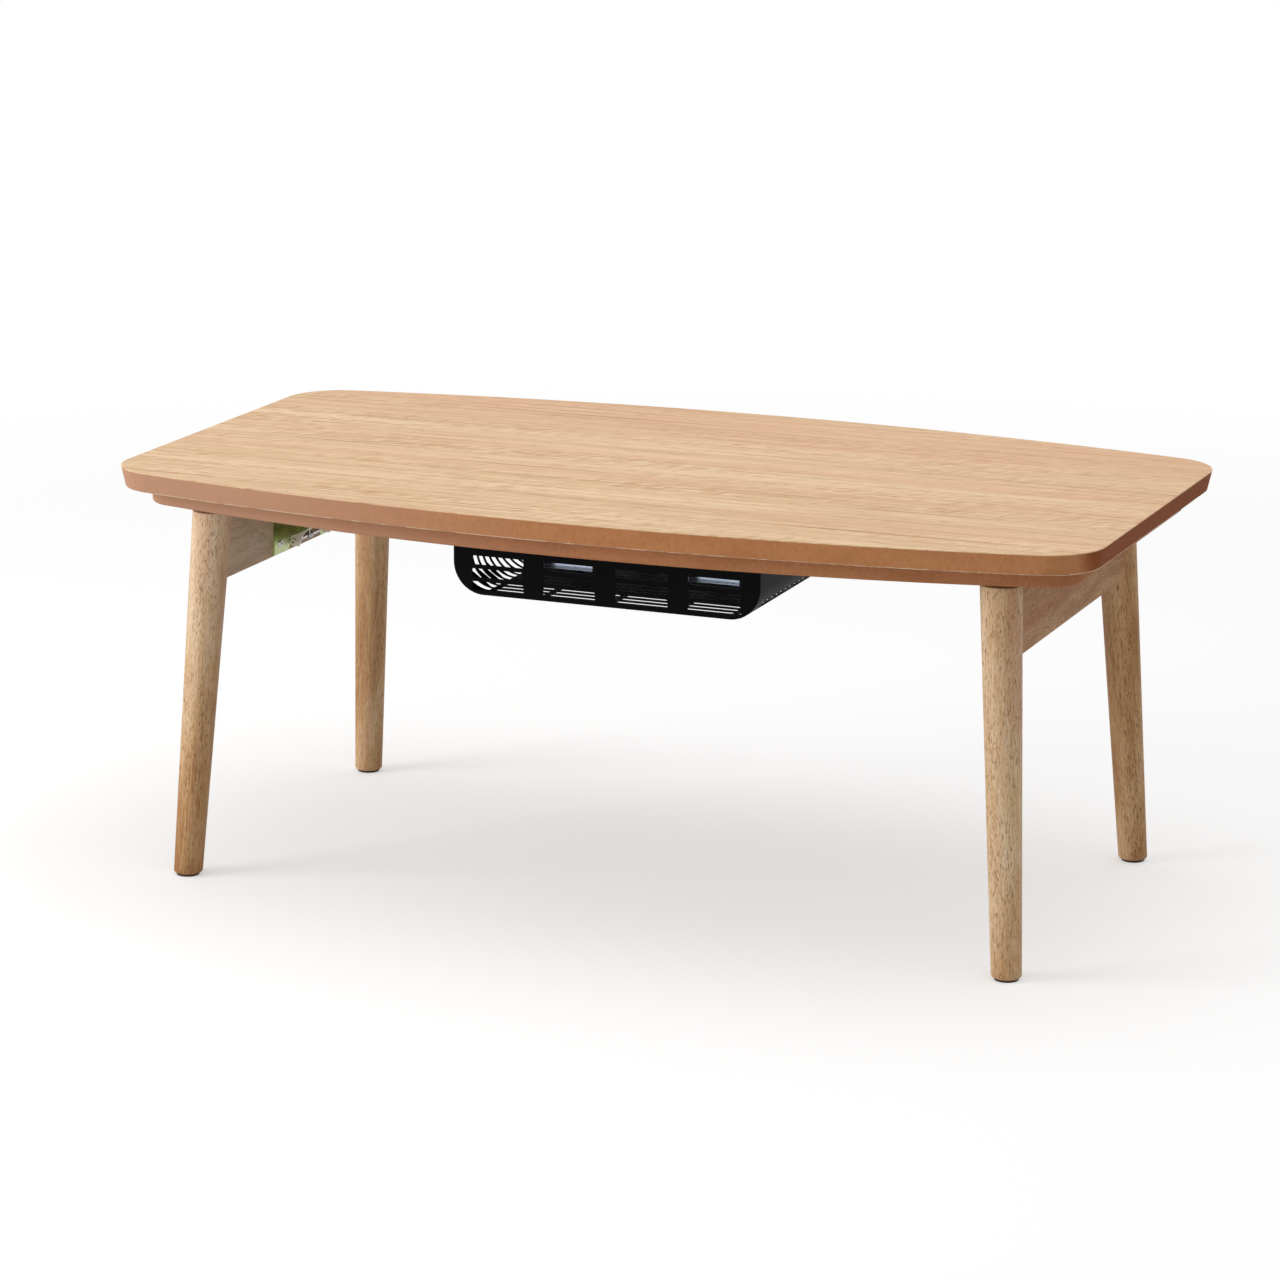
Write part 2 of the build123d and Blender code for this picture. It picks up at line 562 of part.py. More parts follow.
for name, side in (("left", -1), ("right", 1)):
    # dowels between each leg and the rail
    with BuildPart() as dowels:
        for end in (-1, 1):
            for height in dowel_heights:
                axis_x = side * leg_at(height)[0]
                with BuildSketch(Plane(origin=(axis_x, end * dowel_inner_y, height), z_dir=(0, end, 0))):
                    Circle(dowel_radius)
                extrude(amount=dowel_length)
    save(dowels, f"{name}_dowels")

    # round tapered legs, cut level at the foot and just under the board
    legs = {}
    for place, end in (("front", -1), ("rear", 1)):
        with BuildPart() as leg:
            for height in (foot_pad_thickness, leg_top):
                x, y, radius = leg_at(height)
                with BuildSketch(Plane.XY.offset(height)):
                    with Locations((side * x, end * y)):
                        Circle(radius)
            loft(ruled=True)
            fillet(leg.faces().sort_by(Axis.Z)[0].edges(), leg_edge_radius)
            chamfer(leg.faces().sort_by(Axis.Z)[-1].edges(), 0.8)
            add(dowels.part, mode=Mode.SUBTRACT)
        save(leg, f"{name}_{place}_leg")
        legs[place] = leg.part

    with BuildPart() as foot_pads:
        for end in (-1, 1):
            with BuildSketch(Plane.XY):
                with Locations((side * leg_at(0)[0], end * leg_at(0)[1])):
                    Circle(foot_pad_radius)
            extrude(amount=foot_pad_thickness)
    save(foot_pads, f"{name}_foot_pads")

    # rail between the legs, its ends coped to them
    rail_screw_seats = [
        frame_plane(side, rail_thickness / 2 + plate_thickness).shift_origin(
            frame_plane(side, rail_thickness / 2 + plate_thickness).from_local_coords(
                (y, frame_height(height), 0)))
        for y, height in rail_screw_places
    ]
    with BuildPart() as rail:
        low, high = leg_at(rail_bottom)[1], leg_at(rail_top)[1]
        with BuildSketch(frame_plane(side, -rail_thickness / 2)):
            with BuildLine():
                Polyline((-low, frame_height(rail_bottom)), (low, frame_height(rail_bottom)),
                         (high, frame_height(rail_top)), (-high, frame_height(rail_top)), close=True)
            make_face()
        extrude(amount=rail_thickness)
        chamfer(rail.edges().filter_by(Axis.Y), 1.0)
        add(legs["front"], mode=Mode.SUBTRACT)
        add(legs["rear"], mode=Mode.SUBTRACT)
        add(dowels.part, mode=Mode.SUBTRACT)
        drill(rail_screw_seats, rail_screw_radius, rail_screw_length)
    save(rail, f"{name}_rail")

    # plate on the rail's inner face, with ears for the pivot and tabs for the latch rod; each ear
    # reaches round below the pivot, and leaves a curved gap that the strike rod passes along
    with BuildPart() as rail_plate:
        moving_ear = upright_section(
            side,
            [(-17.8, 12), (-3, 10), (0, 6.5), (0, -6.5), (-5, -4.2), (-5.1, -12), (-2.3, -12.8),
             (2.3, -12.8), (7.3, -10.8), (11.4, -15), (11.4, -18), (-20.5, -33)],
            [((0, 0), 6.5)])
        extrude_pair(moving_ear, moving_ear_inner, moving_ear_outer)
        latch_tab = upright_section(
            side, [(-20, -39), (-16, -40), (-16, -34), (-17.6, -26), (-19.9, -26)], [(latch_rod_offset, 3.0)])
        extrude_pair(latch_tab, latch_tab_inner, latch_tab_outer)
        with BuildSketch(frame_plane(side, rail_thickness / 2)):
            with BuildLine():
                foot, arch = frame_height(rail_plate_bottom), frame_height(rail_plate_arch)
                crest = frame_height(rail_plate_top)
                Polyline((-rail_plate_half_width, foot), (-34, foot), (-27, arch), (27, arch), (34, foot),
                         (rail_plate_half_width, foot), (rail_plate_half_width, crest),
                         (-rail_plate_half_width, crest), close=True)
            make_face()
        extrude(amount=plate_thickness)
        cross_rod(side, (0, 0), pivot_radius + running_gap, moving_ear_outer + 1, mode=Mode.SUBTRACT)
        cross_rod(side, latch_rod_offset, latch_rod_radius, latch_tab_outer + 1, mode=Mode.SUBTRACT)
        drill(rail_screw_seats, rail_screw_radius + 0.2, plate_thickness)
    save(rail_plate, f"{name}_rail_plate")

    rail_screws = pan_screws(rail_screw_seats, rail_screw_radius, rail_screw_length, 3.6, 2.0)
    save(rail_screws, f"{name}_rail_screws")

    # plate under the board, with ears outside those of the rail plate
    with BuildPart() as hinge_plate:
        fixed_ear = upright_section(
            side, [(-9, 19), (17, 19), (14.6, -1.8), (-6.4, -3)], [((0, 0), 7), ((strike_offset, 0), 5.5)])
        extrude_pair(fixed_ear, fixed_ear_inner, fixed_ear_outer)
        with BuildSketch(Plane.XY.offset(board_bottom)):
            with Locations((side * (hinge_plate_inner_x + hinge_plate_outer_x) / 2, 0)):
                RectangleRounded(hinge_plate_outer_x - hinge_plate_inner_x, 2 * hinge_plate_half_width, 5)
            with Locations((side * 326, 0)):
                RectangleRounded(31, 72, 4, mode=Mode.SUBTRACT)
        extrude(amount=-plate_thickness)
        cross_rod(side, (0, 0), pivot_radius, fixed_ear_outer + 1, mode=Mode.SUBTRACT)
        cross_rod(side, (strike_offset, 0), strike_radius, fixed_ear_outer + 1, mode=Mode.SUBTRACT)
        drill(hinge_screw_seats[side], hinge_screw_radius + 0.2, plate_thickness)
    save(hinge_plate, f"{name}_hinge_plate")

    hinge_screws = pan_screws(hinge_screw_seats[side], hinge_screw_radius, hinge_screw_length, 3.6, 2.0)
    save(hinge_screws, f"{name}_hinge_screws")

    pivot_rod = riveted_rod(side, (0, 0), pivot_radius, fixed_ear_outer, 4.8, 1.6)
    save(pivot_rod, f"{name}_pivot_rod")
    strike_rod = riveted_rod(side, (strike_offset, 0), strike_radius, fixed_ear_outer, 4.0, 1.4)
    save(strike_rod, f"{name}_strike_rod")
    latch_rod = riveted_rod(side, latch_rod_offset, latch_rod_radius, latch_arm_outer, 2.9, 0.9, head_gap=0.3)
    save(latch_rod, f"{name}_latch_rod")

    # latch lever: two arms that reach round the strike rod, joined by a cross plate
    with BuildPart() as latch:
        arm = upright_section(
            side,
            [(-19.2, -38), (-18.5, -27), (-15, -23.5), (-5, -19), (4, -14.2), (9.5, -10.4), (12.8, -4.5),
             (12.8, 2), (16.2, 2), (16.4, -6), (13, -13.5), (6, -20), (-3, -26), (-7, -31), (-9.3, -38),
             (-10.5, -41), (-17.5, -41.3)],
            [(latch_rod_offset, 3.3)])
        extrude_pair(arm, latch_arm_inner, latch_arm_outer)
        cross_section = upright_section(
            side, [(-12.4, -30.4), (-11.2, -30.4), (-11.2, -22.6), (-12.4, -22.6)], [])
        extrude(cross_section, amount=latch_arm_outer, both=True)
        cross_rod(side, latch_rod_offset, latch_rod_radius + running_gap, latch_arm_outer + 1,
                  mode=Mode.SUBTRACT)
    save(latch, f"{name}_latch")

    # torsion spring wound round the latch rod, with both ends standing up
    rod_x, rod_z = hinge_points(side, [latch_rod_offset])[0]
    with BuildPart() as latch_spring:
        with Locations(Plane(origin=(rod_x, -side * spring_length / 2, rod_z), x_dir=(side, 0, 0),
                             z_dir=(0, side, 0))):
            add(standing_spring.part)
    save(latch_spring, f"{name}_latch_spring")

print("table height", top_height, "splay", round(degrees(splay), 2))
print("leg length", round(hypot(foot_x - head_x, foot_y - head_y, board_bottom), 1))
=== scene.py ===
import math

import bmesh
import bpy
import numpy as np
from mathutils import Matrix, Vector


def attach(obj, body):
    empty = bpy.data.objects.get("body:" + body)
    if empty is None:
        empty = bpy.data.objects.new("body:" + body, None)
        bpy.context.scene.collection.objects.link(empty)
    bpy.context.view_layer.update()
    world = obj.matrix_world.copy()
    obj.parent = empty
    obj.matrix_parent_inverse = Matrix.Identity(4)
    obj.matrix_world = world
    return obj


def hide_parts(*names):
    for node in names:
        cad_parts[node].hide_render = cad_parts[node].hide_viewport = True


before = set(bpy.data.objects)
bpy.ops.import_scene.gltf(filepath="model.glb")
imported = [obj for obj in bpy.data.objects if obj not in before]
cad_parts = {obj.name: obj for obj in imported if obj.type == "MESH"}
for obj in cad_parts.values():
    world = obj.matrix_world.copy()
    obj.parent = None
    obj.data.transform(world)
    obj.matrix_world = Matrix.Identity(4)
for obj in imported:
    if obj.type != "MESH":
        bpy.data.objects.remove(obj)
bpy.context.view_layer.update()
print("frame loaded:", len(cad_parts), "nodes")

sides = {"left": -1, "right": 1}
ends = {"front": -1, "rear": 1}


# shader maths

class Wire:
    # wraps one shader socket, so that sums and products of values read as plain expressions
    def __init__(self, tree, socket=None):
        self.tree = tree
        self.socket = socket

    def node(self, kind, settings=None, values=None, out=0):
        # adds a node: its settings first, then the values or links of its sockets
        made = self.tree.nodes.new("ShaderNode" + kind)
        for name, value in (settings or {}).items():
            setattr(made, name, value)
        for name, value in (values or {}).items():
            if isinstance(value, Wire):
                self.tree.links.new(value.socket, made.inputs[name])
            else:
                made.inputs[name].default_value = value
        return Wire(self.tree, None if out is None else made.outputs[out])

    def maths(self, operation, *values):
        return self.node("Math", {"operation": operation}, dict(enumerate(values)))

    def __add__(self, other):
        return self.maths("ADD", self, other)

    def __sub__(self, other):
        return self.maths("SUBTRACT", self, other)

    def __rsub__(self, other):
        return self.maths("SUBTRACT", other, self)

    def __mul__(self, other):
        return self.maths("MULTIPLY", self, other)

    __radd__ = __add__
    __rmul__ = __mul__

    def axis(self, index):
        return self.node("SeparateXYZ", values={0: self}, out=index)

    def scaled(self, *scale, shift=(0.0, 0.0, 0.0)):
        # the same coordinates stretched along each axis and then moved
        return self.node("Mapping", values={"Vector": self, "Scale": scale, "Location": shift})

    def noise(self, detail=2.0, roughness=0.5):
        values = {"Vector": self, "Scale": 1.0, "Detail": detail, "Roughness": roughness}
        return self.node("TexNoise", values=values)

    def cells(self, feature, out):
        return self.node("TexVoronoi", {"feature": feature}, {"Vector": self, "Scale": 1.0}, out)

    def step(self, low, high):
        # smooth rise from 0 at low to 1 at high
        values = {"Value": self, "From Min": low, "From Max": high}
        return self.node("MapRange", {"interpolation_type": "SMOOTHSTEP"}, values)

    def blend(self, first, second):
        # mix with this value as its factor; sockets 6 and 7 and output 2 are the node's colours
        return self.node("Mix", {"data_type": "RGBA"}, {0: self, 6: first, 7: second}, 2)


def srgb(red, green, blue):
    # linear colour from the usual 0 to 255 values
    parts = [value / 255 for value in (red, green, blue)]
    return (*[p / 12.92 if p <= 0.04045 else ((p + 0.055) / 1.055) ** 2.4 for p in parts], 1.0)


def emptyTree(owner):
    # cleared shader tree of a material or a world
    owner.use_nodes = True
    owner.node_tree.nodes.clear()
    return Wire(owner.node_tree)


materials = {}


def newMaterial(name):
    # keeps the material under its name, and gives its tree and the object's coordinates
    materials[name] = bpy.data.materials.new(name)
    start = emptyTree(materials[name])
    return start, start.node("TexCoord", out="Object")


def finishMaterial(start, sockets, height, depth):
    # a bump from the height, the shader with its sockets, and the output
    bump = start.node("Bump", values={"Height": height, "Distance": depth})
    shader = start.node("BsdfPrincipled", values={**sockets, "Normal": bump})
    start.node("OutputMaterial", values={"Surface": shader}, out=None)


# wood of the legs and rails

legWoodLook = {
    "pale": (244, 218, 184), "mid": (214, 174, 128), "deep": (166, 117, 70), "red": (176, 108, 66),
    "line": (132, 84, 48), "pore": (124, 74, 40), "poreShare": 0.5,
    "ringPitch": 0.0062, "pithX": 0.052, "pithY": 0.021, "drift": 0.045, "roughness": 0.46,
    "specular": 0.18, "depth": 0.0001,
}
# painted shade: the left rail's inner face, seen in shadow, is greyer than the legs
shadedRailLook = {
    **legWoodLook, "pale": (232, 214, 190), "mid": (212, 184, 154), "deep": (172, 140, 108),
    "red": (174, 128, 96), "line": (142, 110, 80), "pore": (132, 102, 78), "poreShare": 0.3,
}


def makeLegWood(name, look):
    # rings round a pith beside the piece, cut lengthways, mottled along the grain; pores are fine short
    # dashes, closer together in some bands, and a reddish streak wanders along the piece
    start, _ = newMaterial(name)
    grain = start.node("Attribute", {"attribute_name": "grain"}, out="Vector")
    # the second attribute gives each piece's lightness: partly the wood's own colour, partly painted light
    # and shade
    tone = start.node("Attribute", {"attribute_name": "tone"}, out="Fac")
    along = grain.axis(2)
    sway = grain.scaled(14, 14, 5).noise(2) - 0.5
    offX = grain.axis(0) + along * look["drift"] + sway * 0.016 + look["pithX"]
    offY = grain.axis(1) + look["pithY"] + sway * 0.008
    distance = (offX * offX + offY * offY).maths("SQRT")
    rings = distance * (1 / look["ringPitch"]) + grain.scaled(160, 160, 12).noise(2) * 0.5
    phase = rings.maths("FRACT")
    late = phase.step(0.3, 0.9) * (1 - phase.step(0.93, 1.0))
    bands = grain.scaled(60, 60, 2.5).noise(1).step(0.4, 0.66)
    fibres = grain.scaled(1000, 1000, 22).noise(3, 0.65)
    fleck = grain.scaled(760, 760, 70, shift=(4, 2, 6)).noise(3, 0.7)
    mottle = grain.scaled(70, 70, 16, shift=(3, 1, 7)).noise(3, 0.6)
    cloud = grain.scaled(30, 30, 6, shift=(1, 6, 2)).noise(2)
    shade = tone + (cloud - 0.5) * 0.9 + (mottle - 0.5) * 0.8 + (fibres - 0.5) * 0.8 + (fleck - 0.5) * 0.9
    shade = shade - late * bands * 0.34
    wood = shade.step(-0.1, 0.62).blend(srgb(*look["deep"]), srgb(*look["mid"]))
    wood = shade.step(0.4, 1.15).blend(wood, srgb(*look["pale"]))
    red = grain.scaled(42, 42, 2.4, shift=(8, 3, 1)).noise(2).step(0.54, 0.7)
    wood = (red * 0.34).blend(wood, srgb(*look["red"]))
    streak = late * bands * fibres.step(0.3, 0.62)
    wood = (streak * 0.34).blend(wood, srgb(*look["line"]))
    vein = (grain.scaled(36, 36, 3, shift=(6, 4, 9)).noise(2) - 0.5).maths("ABSOLUTE")
    wood = ((1 - vein.step(0.003, 0.022)) * bands * 0.7).blend(wood, srgb(*look["red"]))
    dashes = grain.scaled(760, 760, 165).noise(1, 0.3).step(0.6, 0.66)
    fine = grain.scaled(1150, 1150, 260, shift=(5, 5, 2)).noise(1, 0.3).step(0.58, 0.66)
    crowd = grain.scaled(50, 50, 9, shift=(2, 9, 4)).noise(1).step(0.3, 0.7) * 0.6 + 0.4
    pores = (dashes + fine * 0.8) * crowd
    wood = (pores * look["poreShare"]).blend(wood, srgb(*look["pore"]))
    sockets = {"Base Color": wood, "Roughness": look["roughness"] + fibres * 0.16,
               "Specular IOR Level": look["specular"]}
    finishMaterial(start, sockets, fibres * 0.3 - pores, look["depth"])


# grained face of the top

facePrintLook = {
    "pale": (244, 212, 172), "mid": (229, 192, 150), "deep": (210, 165, 122), "blush": (230, 180, 144),
    "line": (176, 118, 80), "pore": (160, 112, 76), "shine": (250, 226, 194), "strip": 0.152,
    "stripShift": 0.31, "levels": 5.0, "slant": -0.7, "roughness": 0.5, "specular": 0.16,
    "depth": 0.00006,
}


def makeFacePrint():
    # strips of flat-sawn boards: thin growth lines follow the level curves of a long, narrow noise; between
    # them are warm bands along x, drawn-out lines, slanting ray flecks and short pores
    look = facePrintLook
    start, place = newMaterial("facePrint")
    index = (place.axis(1) * (1 / look["strip"]) + look["stripShift"]).maths("FLOOR")
    chance = start.node("TexWhiteNoise", {"noise_dimensions": "1D"}, {"W": index}, out="Color")
    shifted = place.node("VectorMath", {"operation": "ADD"}, {0: place, 1: chance})
    ripple = shifted.scaled(14, 45, 1).noise(2) - 0.5
    growth = shifted.scaled(0.9, 24, 1).noise(1) * look["levels"] + ripple * 0.25
    phase = growth.maths("FRACT")
    strength = shifted.scaled(1.6, 30, 1, shift=(3, 3, 0)).noise(2).step(0.36, 0.66)
    late = phase.step(0.55, 0.9) * (1 - phase.step(0.92, 1.0)) * strength
    bands = shifted.scaled(0.9, 26, 1, shift=(2, 0, 0)).noise(2)
    lines = place.scaled(4.5, 150, 1).noise(3, 0.6)
    fine = place.scaled(9, 460, 1, shift=(7, 0, 0)).noise(2, 0.6)
    fibres = place.scaled(26, 1300, 1).noise(2, 0.6)
    slant = start.node("VectorRotate", {"rotation_type": "Z_AXIS"},
                       {"Vector": place, "Angle": look["slant"]})
    flecks = slant.scaled(64, 250, 1, shift=(1, 7, 0)).noise(1, 0.5)
    patch = shifted.scaled(2.2, 17, 1, shift=(9, 1, 0)).noise(2).step(0.38, 0.64)
    shade = (bands - 0.5) * 0.9 + (lines - 0.5) * 1.3 + (fine - 0.5) * 1.0 + (fibres - 0.5) * 0.3 + 0.62
    shade = shade + (flecks - 0.5) * (patch * 1.7 + 0.2) - late * 0.3
    color = shade.step(0.1, 0.55).blend(srgb(*look["deep"]), srgb(*look["mid"]))
    color = shade.step(0.5, 1.0).blend(color, srgb(*look["pale"]))
    blush = shifted.scaled(0.8, 15, 1, shift=(5, 2, 0)).noise(2).step(0.42, 0.68)
    color = (blush * 0.5).blend(color, srgb(*look["blush"]))
    drift = place.scaled(1.5, 26, 1, shift=(2, 8, 0)).noise(1) * 0.02
    wander = place.axis(1) + drift
    drawn = start.node("CombineXYZ", values={0: place.axis(0), 1: wander})
    thin = drawn.scaled(2.4, 260, 1, shift=(4, 6, 0)).noise(1).step(0.64, 0.7)
    bright = drawn.scaled(4, 300, 1, shift=(1, 2, 0)).noise(1).step(0.62, 0.7)
    color = (late * 0.45).blend(color, srgb(*look["line"]))
    color = (thin * 0.6).blend(color, srgb(*look["line"]))
    color = (bright * 0.4).blend(color, srgb(*look["shine"]))
    pores = place.scaled(60, 560, 1, shift=(0, 3, 0)).noise(1, 0.3).step(0.62, 0.74)
    color = (pores * 0.4).blend(color, srgb(*look["pore"]))
    sockets = {"Base Color": color, "Roughness": look["roughness"] + fibres * 0.12,
               "Specular IOR Level": look["specular"]}
    finishMaterial(start, sockets, fibres * 0.25 - pores, look["depth"])


# stained fibreboard, plain sheets and felt

# the fourth colour is a painted sheen towards the left end, the fifth painted shade on the right end, each
# fading in over its reach along x
stainLook = {
    "pale": (206, 144, 98), "deep": (178, 118, 74), "speck": (224, 172, 128), "thin": (196, 154, 130),
    "heavy": (134, 66, 28), "sheenReach": (-0.34, 0.06), "shadedEndReach": (0.43, 0.442), "roughness": 0.5,
    "specular": 0.03, "depth": 0.00006,
}
boardStainLook = {**stainLook, "pale": (196, 136, 96), "deep": (168, 110, 74)}


def makeStain(name, look):
    # close fibres, faint upright sanding marks and a few pale specks under a stained coat, with a painted
    # sheen that pales it towards the left end and painted shade that darkens the right end
    start, place = newMaterial(name)
    grit = place.scaled(1700, 1700, 1500).noise(2, 0.6)
    marks = place.scaled(300, 300, 150).noise(3, 0.6)
    cloud = place.scaled(16, 16, 50).noise(3)
    shade = 0.5 + (grit - 0.5) * 0.6 + (marks - 0.5) * 0.7 + (cloud - 0.5) * 0.8
    color = shade.step(0.0, 1.0).blend(srgb(*look["deep"]), srgb(*look["pale"]))
    # painted sheen: paler towards the left end, where the softbox is reflected
    run = place.axis(0) + (cloud - 0.5) * 0.1
    color = ((1 - run.step(*look["sheenReach"])) * 0.75).blend(color, srgb(*look["thin"]))
    # painted shade: darker on the right end, which is turned away from the key lamp
    color = (place.axis(0).step(*look["shadedEndReach"]) * 0.9).blend(color, srgb(*look["heavy"]))
    specks = place.scaled(620, 620, 420, shift=(3, 1, 2)).noise(2, 0.5).step(0.6, 0.76)
    color = (specks * 0.4).blend(color, srgb(*look["speck"]))
    sockets = {"Base Color": color, "Roughness": look["roughness"] + grit * 0.15,
               "Specular IOR Level": look["specular"]}
    finishMaterial(start, sockets, grit + marks * 0.5, look["depth"])


backingLook = {
    "base": (226, 200, 168), "worn": (166, 116, 82), "roughness": 0.55, "edgeReach": (0.34702, 0.3472),
    "depth": 0.00004,
}


def makeBacking():
    # pale sheet with a faint printed grain; the stain has run over its edge in places
    look = backingLook
    start, place = newMaterial("backingSheet")
    fibres = place.scaled(18, 800, 90).noise(3, 0.6)
    edge = place.axis(2).step(*look["edgeReach"])
    runs = place.scaled(46, 46, 200).noise(2, 0.7).step(0.44, 0.56) * edge
    color = (fibres * 0.2 + runs * 0.7).blend(srgb(*look["base"]), srgb(*look["worn"]))
    sockets = {"Base Color": color, "Roughness": look["roughness"] + fibres * 0.1}
    finishMaterial(start, sockets, fibres, look["depth"])


dowelWoodLook = {
    "pale": (236, 208, 172), "deep": (206, 170, 128), "ray": (166, 122, 82), "roughness": 0.55,
    "depth": 0.00008,
}


def makeDowelWood():
    # plain pale beech: fine fibres along y and short brown rays
    look = dowelWoodLook
    start, place = newMaterial("dowelWood")
    fibres = place.scaled(900, 30, 900).noise(3, 0.6)
    rays = place.scaled(1500, 260, 1500).noise(1, 0.3).step(0.6, 0.7)
    color = fibres.blend(srgb(*look["pale"]), srgb(*look["deep"]))
    color = (rays * 0.5).blend(color, srgb(*look["ray"]))
    sockets = {"Base Color": color, "Roughness": look["roughness"] + fibres * 0.15}
    finishMaterial(start, sockets, fibres - rays, look["depth"])


underPrintLook = {
    "deep": (150, 104, 70), "pale": (190, 146, 106), "pore": (104, 70, 46), "roughness": 0.5,
    "specular": 0.35, "depth": 0.00005,
}


def makeUnderPrint():
    # plain brown-grained paper on the lower board's two faces
    look = underPrintLook
    start, place = newMaterial("underPrint")
    fibres = place.scaled(16, 700, 1).noise(4, 0.62)
    bands = place.scaled(1.4, 30, 1).noise(3)
    shade = fibres * 0.55 + bands * 0.6
    color = shade.step(0.3, 0.85).blend(srgb(*look["deep"]), srgb(*look["pale"]))
    pores = place.scaled(60, 1200, 1).noise(1, 0.3).step(0.66, 0.76)
    color = (pores * 0.45).blend(color, srgb(*look["pore"]))
    sockets = {"Base Color": color, "Roughness": look["roughness"] + fibres * 0.12,
               "Specular IOR Level": look["specular"]}
    finishMaterial(start, sockets, fibres - pores, look["depth"])


fuzzLooks = {
    "felt": {"base": (44, 38, 34), "tuft": (88, 78, 70), "size": 1500, "depth": 0.0004},
    "insulationMat": {"base": (196, 190, 170), "tuft": (238, 234, 220), "size": 700, "depth": 0.0006},
}


def makeFuzz(name, look):
    # matted fibres: two crossed fine noises, with pale tufts
    start, place = newMaterial(name)
    fine, drawn = look["size"], look["size"] * 0.2
    first = place.scaled(fine, drawn, fine).noise(3, 0.7)
    second = place.scaled(drawn, fine, fine).noise(3, 0.7)
    mat = (first + second) * 0.5
    color = mat.step(0.35, 0.65).blend(srgb(*look["base"]), srgb(*look["tuft"]))
    finishMaterial(start, {"Base Color": color, "Roughness": 0.86 + mat * 0.1}, mat, look["depth"])


# metals

metalLooks = {
    "oliveZinc": {
        "first": (104, 116, 52), "second": (134, 146, 74), "third": (176, 178, 112),
        "paleBelow": (206, 222, 160), "paleBelowReach": (0.272, 0.290), "streaks": (240, 30, 240),
        "cloud": 70, "streakShare": 0.4, "metallic": 0.45, "roughness": 0.26, "depth": 0.00004,
    },
    "latchZinc": {
        "first": (240, 222, 210), "second": (222, 212, 210), "third": (250, 236, 220),
        "streaks": (90, 700, 90), "cloud": 120, "streakShare": 0.4, "metallic": 0.3, "roughness": 0.24,
        "depth": 0.00003,
    },
    "paleZinc": {
        "first": (214, 200, 192), "second": (188, 190, 196), "third": (232, 214, 198),
        "streaks": (90, 700, 90), "cloud": 120, "streakShare": 0.4, "metallic": 0.8, "roughness": 0.22,
        "depth": 0.00003,
    },
    "springWire": {
        "first": (196, 194, 190), "second": (172, 172, 174), "third": (220, 216, 208),
        "streaks": (900, 900, 900), "cloud": 300, "streakShare": 0.3, "metallic": 0.85, "roughness": 0.2,
        "depth": 0.00001,
    },
    "coilWire": {
        "first": (112, 104, 100), "second": (150, 132, 118), "third": (90, 86, 90),
        "streaks": (700, 700, 700), "cloud": 240, "streakShare": 0.4, "metallic": 0.7, "roughness": 0.4,
        "depth": 0.00001,
    },
    "brightSheet": {
        "first": (200, 216, 240), "second": (228, 238, 250), "third": (160, 184, 224),
        "streaks": (14, 900, 900), "cloud": 18, "streakShare": 0.35, "metallic": 0.9, "roughness": 0.14,
        "depth": 0.00003,
    },
    "inletBrass": {
        "first": (206, 188, 140), "second": (220, 208, 176), "third": (190, 168, 118),
        "streaks": (900, 60, 900), "cloud": 400, "streakShare": 0.4, "metallic": 0.85, "roughness": 0.2,
        "depth": 0.00001,
    },
}


def makeMetal(name, look):
    # plated or rolled metal: cloudy tint, streaks, patchy roughness; where a look asks for it, paler
    # towards the bottom
    start, place = newMaterial(name)
    streaks = place.scaled(*look["streaks"]).noise(2, 0.6)
    cloud = place.scaled(*[look["cloud"]] * 3).noise(3, 0.6)
    grit = place.scaled(2600, 2600, 2600).noise(1)
    color = cloud.step(0.34, 0.66).blend(srgb(*look["first"]), srgb(*look["second"]))
    color = (streaks.step(0.5, 0.75) * look["streakShare"]).blend(color, srgb(*look["third"]))
    if "paleBelow" in look:
        level = place.axis(2) + (cloud - 0.5) * 0.006
        color = (1 - level.step(*look["paleBelowReach"])).blend(color, srgb(*look["paleBelow"]))
    sockets = {"Base Color": color, "Metallic": look["metallic"] + cloud * 0.1,
               "Roughness": look["roughness"] + streaks * 0.12 + cloud * 0.1}
    finishMaterial(start, sockets, streaks * 0.6 + grit * 0.4, look["depth"])


galvanisedLook = {
    "dark": (158, 164, 170), "bright": (206, 211, 216), "cells": 95, "metallic": 0.8, "roughness": 0.28,
    "depth": 0.00003,
}


def makeGalvanised():
    # zinc spangle: flat crystal cells, each with its own shade and gloss
    look = galvanisedLook
    start, place = newMaterial("galvanised")
    spangle = place.scaled(*[look["cells"]] * 3)
    cell = spangle.cells("F1", "Color").axis(0)
    rim = spangle.cells("DISTANCE_TO_EDGE", "Distance").step(0.0, 0.06)
    grit = place.scaled(1400, 1400, 1400).noise(2)
    color = (cell * 0.8 + grit * 0.2).blend(srgb(*look["dark"]), srgb(*look["bright"]))
    sockets = {"Base Color": color, "Metallic": look["metallic"] + cell * 0.15,
               "Roughness": look["roughness"] + cell * 0.2 + grit * 0.08}
    finishMaterial(start, sockets, rim * 0.3 + grit * 0.4, look["depth"])


# enamel, plastic, ceramic, sleeving and glass

enamelLooks = {
    "guardEnamel": {"base": (4, 4, 6), "scuff": (12, 12, 15), "roughness": 0.4, "specular": 0.05},
    "blackScrew": {"base": (18, 18, 19), "scuff": (58, 56, 54), "roughness": 0.32, "specular": 0.3},
    "darkPlastic": {"base": (20, 20, 21), "scuff": (44, 44, 45), "roughness": 0.5, "specular": 0.3},
    "footPlastic": {"base": (38, 32, 28), "scuff": (70, 60, 52), "roughness": 0.55, "specular": 0.3},
}


